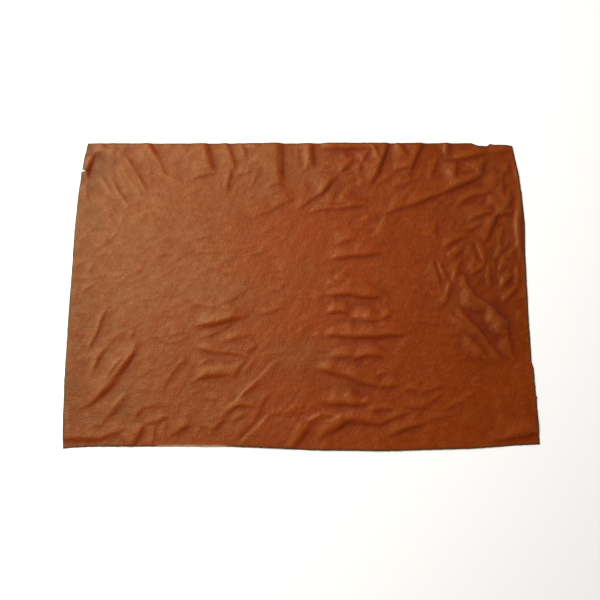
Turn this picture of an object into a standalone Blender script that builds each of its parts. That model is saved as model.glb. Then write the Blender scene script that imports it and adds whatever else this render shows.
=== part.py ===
"""Upholstery leather: one cut piece of thin hide lying open, as one solid on its own folds.

Metres, +Z up. The table top is z = 0 and the origin is on it, under the middle of the piece.
+X runs along the longer side, and the snipped corner is at -X +Y. The underside rests on the
table wherever the hide lies flat, and lifts off it under the folds.
"""

import math
from typing import NamedTuple

import bpy
import numpy as np

MM = 0.001

OBJECT_NAME = "upholstery_leather"
NODE_NAME = "leather_sheet"

HIDE_THICKNESS = 0.0012

# Mesh of the underside before it is thinned out, and what is kept of it
CELLS_ALONG = 220
CELLS_ACROSS = 150
KEPT_SHARE = 0.074

# Lie of the hide between its folds
SLACK_PITCH = 0.110
SLACK_RISE = 0.0011
RIPPLE_PITCH = 0.040
RIPPLE_RISE = 0.0005
MEAN_LIFT = 0.0010
SETTLE = 0.0010
REST_FLAT_UNDER = 0.00005

# Unevenness of the folds: how far their lines wander, and how much their height varies
WANDER_PITCH = 0.038
WANDER = 0.0025
SWELL_PITCH = 0.034
SWELL = 0.42

# Squares on each side of the noise lattice, and the seed of each use of it
LATTICE = 97
WANDER_X_SEED = 1
WANDER_Y_SEED = 2
SLACK_SEED = 5
RIPPLE_SEED = 6
SWELL_SEED = 7

# Share of a fold's rise that its crest stands up, the rest being the depth of its trough
CREST_SHARE = 0.68

# Ends of a fold, as shares of its length: it runs on by the first and fades in over the second
RUN_ON = 0.15
FADE = 0.50
# Width of its flanks at the very ends, as shares of their width in the middle
GENTLE_AT_ENDS = 0.4
STEEP_AT_ENDS = 0.5

# Snip in the left edge, and how tall the wedge is that cuts it
SNIP_Y = 0.2580
SNIP_DEPTH = 0.0130
SNIP_MOUTH = 0.0050
SNIP_TIP_X = -0.4545
SNIP_REACH = 0.08

HIDE_COLOUR = (0.27, 0.085, 0.030, 1.0)
HIDE_ROUGHNESS = 0.48


class Corner(NamedTuple):
    """One cut corner in plan, in millimetres."""

    x: float
    y: float


BOTTOM_LEFT = Corner(-458.0, -319.0)
BOTTOM_RIGHT = Corner(464.0, -311.0)
TOP_LEFT = Corner(-459.5, 323.0)
TOP_RIGHT = Corner(459.5, 316.5)


class Station(NamedTuple):
    """A place on a cut edge, in millimetres: how far along the edge's axis, and where the edge is there."""

    along: float
    edge: float


BOTTOM_EDGE = [
    Station(-441, -317.0),
    Station(-387, -315.0),
    Station(-319, -315.0),
    Station(-139, -315.0),
    Station(-87, -317.0),
    Station(-48, -318.5),
    Station(17, -322.0),
    Station(170, -323.5),
    Station(321, -319.5),
    Station(387, -315.5),
    Station(416, -313.0),
]
TOP_EDGE = [
    Station(-200, 323.0),
    Station(100, 323.2),
    Station(370, 323.5),
    Station(385, 317.5),
    Station(405, 316.5),
    Station(411, 322.0),
    Station(417, 320.0),
    Station(450, 319.0),
]
LEFT_EDGE = [
    Station(-265, -462.5),
    Station(-187, -466.5),
    Station(-66, -469.0),
    Station(60, -470.5),
    Station(126, -472.0),
    Station(193, -471.0),
    Station(238, -468.5),
    Station(255, -467.5),
    Station(262, -465.0),
    Station(292, -463.5),
]
RIGHT_EDGE = [
    Station(-245, 465.0),
    Station(-163, 464.0),
    Station(-151, 461.5),
    Station(-66, 463.0),
    Station(-3, 465.0),
    Station(73, 467.5),
    Station(139, 472.0),
    Station(206, 471.0),
    Station(261, 466.5),
]


class Fold(NamedTuple):
    """One fold, in millimetres.

    The line from (x0, y0) to (x1, y1) runs down the middle of its steep flank, from a crest on the
    left-hand side to a trough on the right. From both, a gentle slope leads back to level.
    """

    x0: float
    y0: float
    x1: float
    y1: float
    bow: float  # how far the middle of the line swings to the right
    gentle: float  # reach of the gentle slopes from the crest and from the trough
    steep: float  # half the width of the steep flank
    rise: float  # height from the trough to the crest


LOWER_LEFT_FOLDS = [
    Fold(-420, -242, -326, -112, 12, 34, 7.5, 4.0),
    Fold(-413, -180, -361, -96, -8, 26, 5.5, 2.4),
    Fold(-423, -128, -390, -44, 2, 18, 4.5, 2.0),
    Fold(-384, -272, -338, -210, 2, 34, 8.0, 1.9),
    Fold(-474, -303, -384, -302, 0, 22, 8.5, 4.0),
    Fold(-390, -302, -338, -282, 2, 18, 5.0, 1.9),
    Fold(-324, -318, -304, -274, 0, 22, 5.5, 2.5),
    Fold(-304, -274, -256, -261, 2, 16, 3.5, 1.5),
    Fold(-250, -298, -208, -275, -2, 18, 4.5, 1.9),
]
LEFT_MIDDLE_FOLDS = [
    Fold(-216, -79, -104, -58, 2, 28, 4.5, 2.5),
    Fold(-206, -122, -152, -135, 0, 18, 4.5, 1.6),
    Fold(-160, -134, -98, -142, -1, 16, 3.0, 2.0),
    Fold(-214, -193, -132, -181, -9, 28, 4.5, 2.3),
    Fold(-134, -186, -106, -142, 1, 20, 3.5, 1.7),
    Fold(-46, -146, -146, -244, 2, 13, 4.0, 1.6),
    Fold(-150, -262, -122, -238, -2, 16, 3.5, 1.9),
    Fold(-176, -290, -142, -263, -2, 20, 4.5, 1.9),
    Fold(-18, -324, 18, -276, 0, 22, 7.5, 4.4),
]
RIGHT_MIDDLE_FOLDS = [
    Fold(52, -99, 112, -98, -1, 26, 5.0, 3.6),
    Fold(96, -101, 210, -98, 2, 30, 5.5, 4.6),
    Fold(48, -55, 104, -57, -4, 24, 5.5, 3.3),
    Fold(102, -61, 150, -69, 2, 22, 5.5, 3.4),
    Fold(44, -16, 168, -21, -3, 30, 5.5, 3.1),
    Fold(56, 61, 172, 77, 1, 30, 5.0, 2.7),
    Fold(72, 94, 122, 108, -1, 24, 5.0, 2.3),
    Fold(60, -139, 106, -141, 0, 22, 5.0, 2.6),
    Fold(108, -146, 176, -141, -6, 22, 5.0, 2.9),
    Fold(34, -162, 112, -187, 1, 26, 5.5, 4.0),
    Fold(90, -182, 160, -201, 1, 24, 5.0, 3.4),
    Fold(44, -229, 112, -236, 1, 28, 6.0, 2.8),
    Fold(40, -298, 108, -268, -3, 28, 7.0, 3.8),
    Fold(80, -268, 158, -273, -2, 28, 6.5, 3.8),
    Fold(172, -294, 248, -268, -1, 22, 4.5, 2.4),
]
TOP_FOLDS = [
    Fold(-300, 280, -326, 332, -2, 30, 6.5, 3.2),
    Fold(-183, 256, -199, 338, -5, 30, 9.0, 4.4),
    Fold(-137, 258, -158, 336, 0, 22, 4.5, 2.1),
    Fold(-155, 208, -147, 266, 1, 22, 4.0, 2.1),
    Fold(-41, 228, -39, 350, 0, 46, 12.5, 6.4),
    Fold(-58, 168, -10, 200, 0, 26, 5.0, 1.9),
    Fold(29, 268, 27, 332, -2, 26, 7.5, 4.8),
    Fold(48, 311, 120, 311, 0, 24, 7.5, 4.2),
    Fold(44, 200, 82, 252, 0, 26, 4.5, 2.6),
    Fold(86, 254, 116, 290, 2, 20, 4.5, 2.3),
    Fold(-2, 168, 48, 210, -2, 20, 3.5, 1.6),
    Fold(20, 164, 140, 178, -2, 30, 5.5, 3.0),
    Fold(151, 232, 193, 336, 8, 28, 6.0, 5.0),
]
UPPER_LEFT_FOLDS = [
    Fold(-451, 238, -443, 302, -3, 36, 8.0, 4.8),
    Fold(-447, 296, -418, 304, -3, 22, 5.5, 2.4),
    Fold(-328, 220, -375, 292, 1, 28, 4.5, 2.1),
    Fold(-356, 174, -404, 244, 0, 20, 3.5, 1.5),
]
UPPER_RIGHT_FOLDS = [
    Fold(233, 250, 269, 334, 2, 28, 6.0, 5.4),
    Fold(280, 236, 298, 290, 2, 24, 4.5, 3.2),
    Fold(322, 286, 402, 302, 4, 20, 5.0, 4.2),
    Fold(331, 244, 336, 284, 1, 22, 4.5, 3.2),
    Fold(180, 160, 280, 197, -1, 32, 5.5, 3.2),
    Fold(258, 190, 322, 213, 0, 26, 5.0, 2.7),
    Fold(312, 210, 392, 252, 3, 36, 8.0, 6.6),
    Fold(384, 252, 402, 290, 0, 26, 9.0, 4.4),
    Fold(334, 180, 400, 209, -3, 28, 5.5, 3.8),
    Fold(350, 142, 406, 166, -3, 24, 4.5, 3.3),
    Fold(385, 102, 418, 162, 0, 28, 6.0, 5.0),
    Fold(431, 200, 437, 256, 0, 20, 5.0, 3.8),
    Fold(426, 160, 452, 196, 0, 22, 6.5, 3.6),
    Fold(461, 60, 466, 200, -1, 9, 5.0, 4.2),
]
LOWER_RIGHT_FOLDS = [
    Fold(298, 86, 346, 110, -2, 18, 4.5, 2.0),
    Fold(308, 58, 340, 86, 0, 14, 5.0, 2.2),
    Fold(350, 27, 384, 54, 3, 18, 5.0, 2.9),
    Fold(367, 100, 378, 54, 0, 10, 4.0, 2.0),
    Fold(427, -142, 422, -66, -2, 28, 10.0, 5.4),
    Fold(423, -74, 388, -34, -2, 28, 10.0, 6.6),
    Fold(394, -40, 339, 10, -3, 24, 8.5, 5.4),
    Fold(402, -142, 326, -42, 0, 24, 8.5, 6.4),
    Fold(376, -142, 332, -96, 0, 14, 6.5, 4.2),
    Fold(414, -34, 446, 2, 0, 12, 5.0, 2.3),
    Fold(414, 2, 444, 30, 0, 14, 5.0, 2.4),
    Fold(376, -304, 474, -288, 0, 28, 8.0, 5.0),
]
FOLDS = (
    LOWER_LEFT_FOLDS
    + LEFT_MIDDLE_FOLDS
    + RIGHT_MIDDLE_FOLDS
    + TOP_FOLDS
    + UPPER_LEFT_FOLDS
    + UPPER_RIGHT_FOLDS
    + LOWER_RIGHT_FOLDS
)


def clear_scene():
    """Remove every object that the scene starts with."""
    for obj in list(bpy.data.objects):
        bpy.data.objects.remove(obj, do_unlink=True)


def new_collection(name):
    """A collection of that name, linked to the scene."""
    collection = bpy.data.collections.new(name)
    bpy.context.scene.collection.children.link(collection)
    return collection


def move_to(obj, collection):
    """Keep the object in this collection alone."""
    for old in list(obj.users_collection):
        old.objects.unlink(obj)
    collection.objects.link(obj)


def leather_material():
    """Tan, semi-gloss hide."""
    material = bpy.data.materials.new("tan_leather")
    material.use_nodes = True
    shader = material.node_tree.nodes["Principled BSDF"]
    shader.inputs["Base Color"].default_value = HIDE_COLOUR
    shader.inputs["Roughness"].default_value = HIDE_ROUGHNESS
    shader.inputs["Metallic"].default_value = 0.0
    material.diffuse_color = HIDE_COLOUR
    return material


def ease(share):
    """Rise from 0 to 1 with the share, level at both ends."""
    share = np.clip(share, 0.0, 1.0)
    return share * share * (3.0 - 2.0 * share)


def unevenness(x, y, pitch, seed):
    """Smooth noise between -1 and 1: seeded values on a square lattice, eased from one to the next."""
    values = np.random.default_rng(seed).uniform(-1.0, 1.0, (LATTICE, LATTICE))
    column = x / pitch + LATTICE / 2
    row = y / pitch + LATTICE / 2
    left = np.floor(column).astype(int)
    low = np.floor(row).astype(int)
    across = ease(column - left)
    up = ease(row - low)
    lower = values[low, left] * (1.0 - across) + values[low, left + 1] * across
    upper = values[low + 1, left] * (1.0 - across) + values[low + 1, left + 1] * across
    return lower * (1.0 - up) + upper * up


def edge_at(stations, start, end, along):
    """Where a cut edge lies at each place along its axis, from one corner to the other."""
    places = [start[0]] + [station.along for station in stations] + [end[0]]
    edges = [start[1]] + [station.edge for station in stations] + [end[1]]
    return np.interp(along, places, edges)


def plan_position(s, t):
    """Plan x and y for shares s along and t across: the four cut edges blended across the piece."""
    bottom_x = BOTTOM_LEFT.x + (BOTTOM_RIGHT.x - BOTTOM_LEFT.x) * s
    top_x = TOP_LEFT.x + (TOP_RIGHT.x - TOP_LEFT.x) * s
    left_y = BOTTOM_LEFT.y + (TOP_LEFT.y - BOTTOM_LEFT.y) * t
    right_y = BOTTOM_RIGHT.y + (TOP_RIGHT.y - BOTTOM_RIGHT.y) * t
    bottom_y = edge_at(BOTTOM_EDGE, BOTTOM_LEFT, BOTTOM_RIGHT, bottom_x)
    top_y = edge_at(TOP_EDGE, TOP_LEFT, TOP_RIGHT, top_x)
    left_x = edge_at(LEFT_EDGE, BOTTOM_LEFT[::-1], TOP_LEFT[::-1], left_y)
    right_x = edge_at(RIGHT_EDGE, BOTTOM_RIGHT[::-1], TOP_RIGHT[::-1], right_y)

    def blend(bottom, top, left, right, axis):
        corners = (
            (1 - s) * (1 - t) * BOTTOM_LEFT[axis]
            + s * (1 - t) * BOTTOM_RIGHT[axis]
            + (1 - s) * t * TOP_LEFT[axis]
            + s * t * TOP_RIGHT[axis]
        )
        return (1 - t) * bottom + t * top + (1 - s) * left + s * right - corners

    x = blend(bottom_x, top_x, left_x, right_x, 0)
    y = blend(bottom_y, top_y, left_y, right_y, 1)
    return x * MM, y * MM


def fold_lift(fold, x, y):
    """Height that one fold adds: a crest and a trough beside it, which fade sideways and at both ends."""
    x0, y0, x1, y1, bow, gentle, steep, rise = (size * MM for size in fold)
    length = math.hypot(x1 - x0, y1 - y0)
    toward_x = (x1 - x0) / length
    toward_y = (y1 - y0) / length
    share = ((x - x0) * toward_x + (y - y0) * toward_y) / length
    right = (x - x0) * toward_y - (y - y0) * toward_x - 4.0 * bow * share * (1.0 - share)
    fullness = ease((share + RUN_ON) / FADE) * ease((1.0 + RUN_ON - share) / FADE)
    gentle *= GENTLE_AT_ENDS + (1.0 - GENTLE_AT_ENDS) * fullness
    steep *= STEEP_AT_ENDS + (1.0 - STEEP_AT_ENDS) * fullness
    off_flank = np.maximum(np.abs(right) - steep, 0.0)
    bell = np.exp(-np.square(off_flank / gentle))
    across = CREST_SHARE - 0.5 - 0.5 * np.sin(math.pi / 2 * np.clip(right / steep, -1.0, 1.0))
    return rise * fullness * bell * across


def underside_height(x, y):
    """Height of the underside over the table: folds and slack, settled so that low places lie flat."""
    wandered_x = x + WANDER * unevenness(x, y, WANDER_PITCH, WANDER_X_SEED)
    wandered_y = y + WANDER * unevenness(x, y, WANDER_PITCH, WANDER_Y_SEED)
    lift = np.zeros_like(x)
    for fold in FOLDS:
        lift += fold_lift(fold, wandered_x, wandered_y)
    lift *= 1.0 + SWELL * unevenness(x, y, SWELL_PITCH, SWELL_SEED)
    lift += SLACK_RISE * unevenness(x, y, SLACK_PITCH, SLACK_SEED)
    lift += RIPPLE_RISE * unevenness(x, y, RIPPLE_PITCH, RIPPLE_SEED)
    lift += MEAN_LIFT
    low = np.clip(lift, 0.0, SETTLE)
    return np.where(lift < SETTLE, low * low / (2.0 * SETTLE), lift - SETTLE / 2.0)


def folded_surface(collection):
    """The underside as an open surface: a grid on the cut outline, raised along the folds and thinned out."""
    bpy.ops.mesh.primitive_grid_add(x_subdivisions=CELLS_ALONG, y_subdivisions=CELLS_ACROSS, size=1.0)
    surface = bpy.context.active_object
    move_to(surface, collection)
    points = np.empty(len(surface.data.vertices) * 3)
    surface.data.vertices.foreach_get("co", points)
    points = points.reshape(-1, 3)
    x, y = plan_position(points[:, 0] + 0.5, points[:, 1] + 0.5)
    points = np.stack([x, y, underside_height(x, y)], axis=-1)
    surface.data.vertices.foreach_set("co", points.ravel())
    surface.data.update()

    thin_out = surface.modifiers.new("Thin out", "DECIMATE")
    thin_out.decimate_type = "COLLAPSE"
    thin_out.ratio = KEPT_SHARE
    evaluated = surface.evaluated_get(bpy.context.evaluated_depsgraph_get())
    mesh = bpy.data.meshes.new_from_object(evaluated)
    surface.modifiers.clear()
    surface.data = mesh
    return surface


def lay_on_table(surface):
    """Move the outline's middle over the origin, and put what nearly touches the table on it."""
    mesh = surface.data
    points = np.empty(len(mesh.vertices) * 3)
    mesh.vertices.foreach_get("co", points)
    points = points.reshape(-1, 3)
    points[:, :2] -= (points[:, :2].max(axis=0) + points[:, :2].min(axis=0)) / 2.0
    points[:, 2] = np.where(points[:, 2] < REST_FLAT_UNDER, 0.0, points[:, 2])
    mesh.vertices.foreach_set("co", points.ravel())
    mesh.update()


def snip_cutter(collection):
    """A wedge that points into the left edge, through the full height of the piece.

    It starts as a prism on a triangle of radius 1, which is 1.5 long and sqrt(3) wide. It is twice
    as long and wide as the snip, so that its blunt end stays clear of the edge.
    """
    bpy.ops.mesh.primitive_cylinder_add(vertices=3, radius=1.0, depth=1.0, rotation=(0.0, 0.0, -math.pi / 2))
    wedge = bpy.context.active_object
    wedge.name = "snip_cutter"
    bpy.ops.object.transform_apply(location=False, rotation=True, scale=False)
    from_tip = 2.0 * SNIP_DEPTH / 1.5
    wedge.scale = (from_tip, 2.0 * SNIP_MOUTH / math.sqrt(3.0), SNIP_REACH)
    wedge.location = (SNIP_TIP_X - from_tip, SNIP_Y, 0.0)
    wedge.hide_render = True
    wedge.display_type = "WIRE"
    move_to(wedge, collection)
    return wedge


def build():
    """Model the hide as one solid: its folded underside, thickened upwards, with the snip cut out."""
    clear_scene()
    parts = new_collection(OBJECT_NAME)
    cutters = new_collection("cutters")
    sheet = folded_surface(parts)
    sheet.name = NODE_NAME
    sheet.data.name = NODE_NAME
    lay_on_table(sheet)
    sheet.data.materials.append(leather_material())

    thickness = sheet.modifiers.new("Hide thickness", "SOLIDIFY")
    thickness.thickness = HIDE_THICKNESS
    thickness.offset = 1.0
    thickness.use_even_offset = True
    snip = sheet.modifiers.new("Snip", "BOOLEAN")
    snip.operation = "DIFFERENCE"
    snip.solver = "EXACT"
    snip.object = snip_cutter(cutters)
    sheet.data.shade_smooth()


build()
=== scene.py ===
"""Dresses the upholstery leather: one cut hide, finely creased, on a pale floor in soft studio light.

Metres, +Z up, in the solid's own frame: the table top is z = 0, and the origin lies on it under the
middle of the hide. The tables of edges and folds are in millimetres.
"""

import logging
import math
from collections.abc import Callable
from dataclasses import dataclass
from enum import IntEnum
from typing import NamedTuple

import bpy
import numpy as np
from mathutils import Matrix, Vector

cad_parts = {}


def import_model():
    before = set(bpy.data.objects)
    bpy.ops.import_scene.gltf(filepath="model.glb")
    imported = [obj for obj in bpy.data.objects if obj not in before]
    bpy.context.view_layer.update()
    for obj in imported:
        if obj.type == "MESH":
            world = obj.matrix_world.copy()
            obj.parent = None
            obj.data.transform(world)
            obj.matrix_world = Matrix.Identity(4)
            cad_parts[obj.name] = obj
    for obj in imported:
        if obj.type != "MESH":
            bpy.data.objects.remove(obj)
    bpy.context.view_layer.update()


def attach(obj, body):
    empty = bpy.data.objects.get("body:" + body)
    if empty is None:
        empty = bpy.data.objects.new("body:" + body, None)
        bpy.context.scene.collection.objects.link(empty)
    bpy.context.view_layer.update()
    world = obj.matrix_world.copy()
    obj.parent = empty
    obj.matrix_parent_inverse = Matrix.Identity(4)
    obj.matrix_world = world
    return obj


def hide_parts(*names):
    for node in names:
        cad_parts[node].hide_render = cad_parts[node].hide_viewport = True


MM = 0.001
VALUE_LATTICE = 97  # corners along each side of the value noise's lattice
SLOPE_LATTICE = 128  # corners along each side of the slope noise's lattice, which repeats
SLOPE_GAIN = 1.5  # brings the slope noise's peaks to about 1

NODE = "leather_sheet"
BODY = "root"

Colour = tuple[float, float, float, float]

log = logging.getLogger("upholstery_leather")


class Point(NamedTuple):
    """A point in plan, in millimetres."""

    x: float
    y: float


class Station(NamedTuple):
    """A place on a cut edge, in millimetres: how far along the edge's axis, and where the edge is there."""

    along: float
    edge: float


BOTTOM_EDGE = (
    Station(-441, -317.0),
    Station(-387, -315.0),
    Station(-319, -315.0),
    Station(-139, -315.0),
    Station(-87, -317.0),
    Station(-48, -318.5),
    Station(17, -322.0),
    Station(170, -323.5),
    Station(321, -319.5),
    Station(387, -315.5),
    Station(416, -313.0),
)
TOP_EDGE = (
    Station(-200, 323.0),
    Station(100, 323.2),
    Station(370, 323.5),
    Station(385, 317.5),
    Station(405, 316.5),
    Station(411, 322.0),
    Station(417, 320.0),
    Station(450, 319.0),
)
LEFT_EDGE = (
    Station(-265, -462.5),
    Station(-187, -466.5),
    Station(-66, -469.0),
    Station(60, -470.5),
    Station(126, -472.0),
    Station(193, -471.0),
    Station(238, -468.5),
    Station(255, -467.5),
    Station(262, -465.0),
    Station(292, -463.5),
)
RIGHT_EDGE = (
    Station(-245, 465.0),
    Station(-225, 465.0),
    Station(-221, 467.0),
    Station(-217, 464.8),
    Station(-163, 464.0),
    Station(-151, 461.5),
    Station(-66, 463.0),
    Station(-3, 465.0),
    Station(73, 467.5),
    Station(139, 472.0),
    Station(206, 471.0),
    Station(261, 466.5),
)


class Fold(NamedTuple):
    """One fold, in millimetres.

    The line from (x0, y0) to (x1, y1) runs down the middle of its steep flank, from a crest on the
    left-hand side to a trough on the right. From both, a gentle slope leads back to level.
    """

    x0: float
    y0: float
    x1: float
    y1: float
    bow: float  # how far the middle of the line swings to the right
    gentle: float  # reach of the gentle slopes from the crest and from the trough
    steep: float  # half the width of the steep flank
    rise: float  # height from the trough to the crest


# Main folds, which the solid has too
LOWER_LEFT_FOLDS = (
    Fold(-420, -242, -326, -112, 12, 34, 7.5, 4.0),
    Fold(-413, -180, -361, -96, -8, 26, 5.5, 2.4),
    Fold(-423, -128, -390, -44, 2, 18, 4.5, 2.0),
    Fold(-384, -272, -338, -210, 2, 34, 8.0, 1.9),
    Fold(-474, -303, -384, -302, 0, 22, 8.5, 4.0),
    Fold(-390, -302, -338, -282, 2, 18, 5.0, 1.9),
    Fold(-324, -318, -304, -274, 0, 22, 5.5, 2.5),
    Fold(-304, -274, -256, -261, 2, 16, 3.5, 1.5),
    Fold(-250, -298, -208, -275, -2, 18, 4.5, 1.9),
)
LEFT_MIDDLE_FOLDS = (
    Fold(-216, -79, -104, -58, 2, 28, 4.5, 2.5),
    Fold(-206, -122, -152, -135, 0, 18, 4.5, 1.6),
    Fold(-160, -134, -98, -142, -1, 16, 3.0, 2.0),
    Fold(-214, -193, -132, -181, -9, 28, 4.5, 2.3),
    Fold(-134, -186, -106, -142, 1, 20, 3.5, 1.7),
    Fold(-46, -146, -146, -244, 2, 13, 4.0, 1.6),
    Fold(-150, -262, -122, -238, -2, 16, 3.5, 1.9),
    Fold(-176, -290, -142, -263, -2, 20, 4.5, 1.9),
    Fold(-18, -324, 18, -276, 0, 22, 7.5, 4.4),
)
RIGHT_MIDDLE_FOLDS = (
    Fold(52, -99, 112, -98, -1, 26, 5.0, 3.6),
    Fold(96, -101, 210, -98, 2, 30, 5.5, 4.6),
    Fold(48, -55, 104, -57, -4, 24, 5.5, 3.3),
    Fold(102, -61, 150, -69, 2, 22, 5.5, 3.4),
    Fold(44, -16, 168, -21, -3, 30, 5.5, 3.1),
    Fold(56, 61, 172, 77, 1, 30, 5.0, 2.7),
    Fold(72, 94, 122, 108, -1, 24, 5.0, 2.3),
    Fold(60, -139, 106, -141, 0, 22, 5.0, 2.6),
    Fold(108, -146, 176, -141, -6, 22, 5.0, 2.9),
    Fold(34, -162, 112, -187, 1, 26, 5.5, 4.0),
    Fold(90, -182, 160, -201, 1, 24, 5.0, 3.4),
    Fold(44, -229, 112, -236, 1, 28, 6.0, 2.8),
    Fold(40, -298, 108, -268, -3, 28, 7.0, 3.8),
    Fold(80, -268, 158, -273, -2, 28, 6.5, 3.8),
    Fold(172, -294, 248, -268, -1, 22, 4.5, 2.4),
)
TOP_FOLDS = (
    Fold(-300, 280, -326, 332, -2, 30, 6.5, 3.2),
    Fold(-183, 256, -199, 338, -5, 30, 9.0, 4.4),
    Fold(-137, 258, -158, 336, 0, 22, 4.5, 2.1),
    Fold(-155, 208, -147, 266, 1, 22, 4.0, 2.1),
    Fold(-41, 228, -39, 350, 0, 46, 12.5, 6.4),
    Fold(-58, 168, -10, 200, 0, 26, 5.0, 1.9),
    Fold(29, 268, 27, 332, -2, 26, 7.5, 4.8),
    Fold(48, 311, 120, 311, 0, 24, 7.5, 4.2),
    Fold(44, 200, 82, 252, 0, 26, 4.5, 2.6),
    Fold(86, 254, 116, 290, 2, 20, 4.5, 2.3),
    Fold(-2, 168, 48, 210, -2, 20, 3.5, 1.6),
    Fold(20, 164, 140, 178, -2, 30, 5.5, 3.0),
    Fold(151, 232, 193, 336, 8, 28, 6.0, 5.0),
)
UPPER_LEFT_FOLDS = (
    Fold(-451, 238, -443, 302, -3, 36, 8.0, 4.8),
    Fold(-447, 296, -418, 304, -3, 22, 5.5, 2.4),
    Fold(-328, 220, -375, 292, 1, 28, 4.5, 2.1),
    Fold(-356, 174, -404, 244, 0, 20, 3.5, 1.5),
)
UPPER_RIGHT_FOLDS = (
    Fold(233, 250, 269, 334, 2, 28, 6.0, 5.4),
    Fold(280, 236, 298, 290, 2, 24, 4.5, 3.2),
    Fold(322, 286, 402, 302, 4, 20, 5.0, 4.2),
    Fold(331, 244, 336, 284, 1, 22, 4.5, 3.2),
    Fold(180, 160, 280, 197, -1, 32, 5.5, 3.2),
    Fold(258, 190, 322, 213, 0, 26, 5.0, 2.7),
    Fold(312, 210, 392, 252, 3, 36, 8.0, 6.6),
    Fold(384, 252, 402, 290, 0, 26, 9.0, 4.4),
    Fold(334, 180, 400, 209, -3, 28, 5.5, 3.8),
    Fold(350, 142, 406, 166, -3, 24, 4.5, 3.3),
    Fold(385, 102, 418, 162, 0, 28, 6.0, 5.0),
    Fold(431, 200, 437, 256, 0, 20, 5.0, 3.8),
    Fold(426, 160, 452, 196, 0, 22, 6.5, 3.6),
    Fold(461, 60, 466, 200, -1, 9, 5.0, 4.2),
)
LOWER_RIGHT_FOLDS = (
    Fold(298, 86, 346, 110, -2, 18, 4.5, 2.0),
    Fold(308, 58, 340, 86, 0, 14, 5.0, 2.2),
    Fold(350, 27, 384, 54, 3, 18, 5.0, 2.9),
    Fold(367, 100, 378, 54, 0, 10, 4.0, 2.0),
    Fold(427, -142, 422, -66, -2, 28, 10.0, 5.4),
    Fold(423, -74, 388, -34, -2, 28, 10.0, 6.6),
    Fold(394, -40, 339, 10, -3, 24, 8.5, 5.4),
    Fold(402, -142, 326, -42, 0, 24, 8.5, 6.4),
    Fold(376, -142, 332, -96, 0, 14, 6.5, 4.2),
    Fold(414, -34, 446, 2, 0, 12, 5.0, 2.3),
    Fold(414, 2, 444, 30, 0, 14, 5.0, 2.4),
    Fold(376, -304, 474, -288, 0, 28, 8.0, 5.0),
)
MAIN_FOLDS = (
    LOWER_LEFT_FOLDS
    + LEFT_MIDDLE_FOLDS
    + RIGHT_MIDDLE_FOLDS
    + TOP_FOLDS
    + UPPER_LEFT_FOLDS
    + UPPER_RIGHT_FOLDS
    + LOWER_RIGHT_FOLDS
)

# Fine creases, which only the finished hide has
LOWER_LEFT_CREASES = (
    Fold(-381, -182, -351, -136, 0, 10, 2.5, 0.9),
    Fold(-343, -106, -331, -90, 0, 12, 4.0, 1.1),
    Fold(-414, -284, -376, -279, -6, 14, 3.0, 0.8),
    Fold(-308, -244, -250, -238, -3, 20, 4.5, 1.0),
    Fold(-322, -266, -304, -242, -2, 18, 5.0, 1.1),
    Fold(-286, -318, -281, -272, 0, 14, 4.0, 1.2),
    Fold(-263, -304, -259, -270, 0, 12, 4.0, 1.1),
    Fold(-272, -212, -226, -140, -3, 20, 3.0, 0.8),
    Fold(-326, -184, -284, -166, 0, 16, 3.5, 0.5),
    Fold(-240, -262, -236, -226, 0, 8, 2.5, 0.6),
    Fold(-250, -270, -246, -236, 0, 8, 2.5, 0.6),
    Fold(-302, -101, -272, -99, 0, 10, 2.5, 0.6),
    Fold(-284, -103, -256, -115, 0, 10, 2.5, 0.7),
    Fold(-258, -114, -222, -98, 0, 12, 2.5, 0.7),
    Fold(-262, -97, -226, -90, 0, 10, 2.5, 0.5),
    Fold(-232, -162, -226, -142, 0, 10, 3.0, 0.7),
    Fold(-346, -210, -372, -240, 0, 18, 6.0, 1.0),
    Fold(-444, -296, -452, -236, 0, 20, 5.0, 1.0),
)
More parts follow.
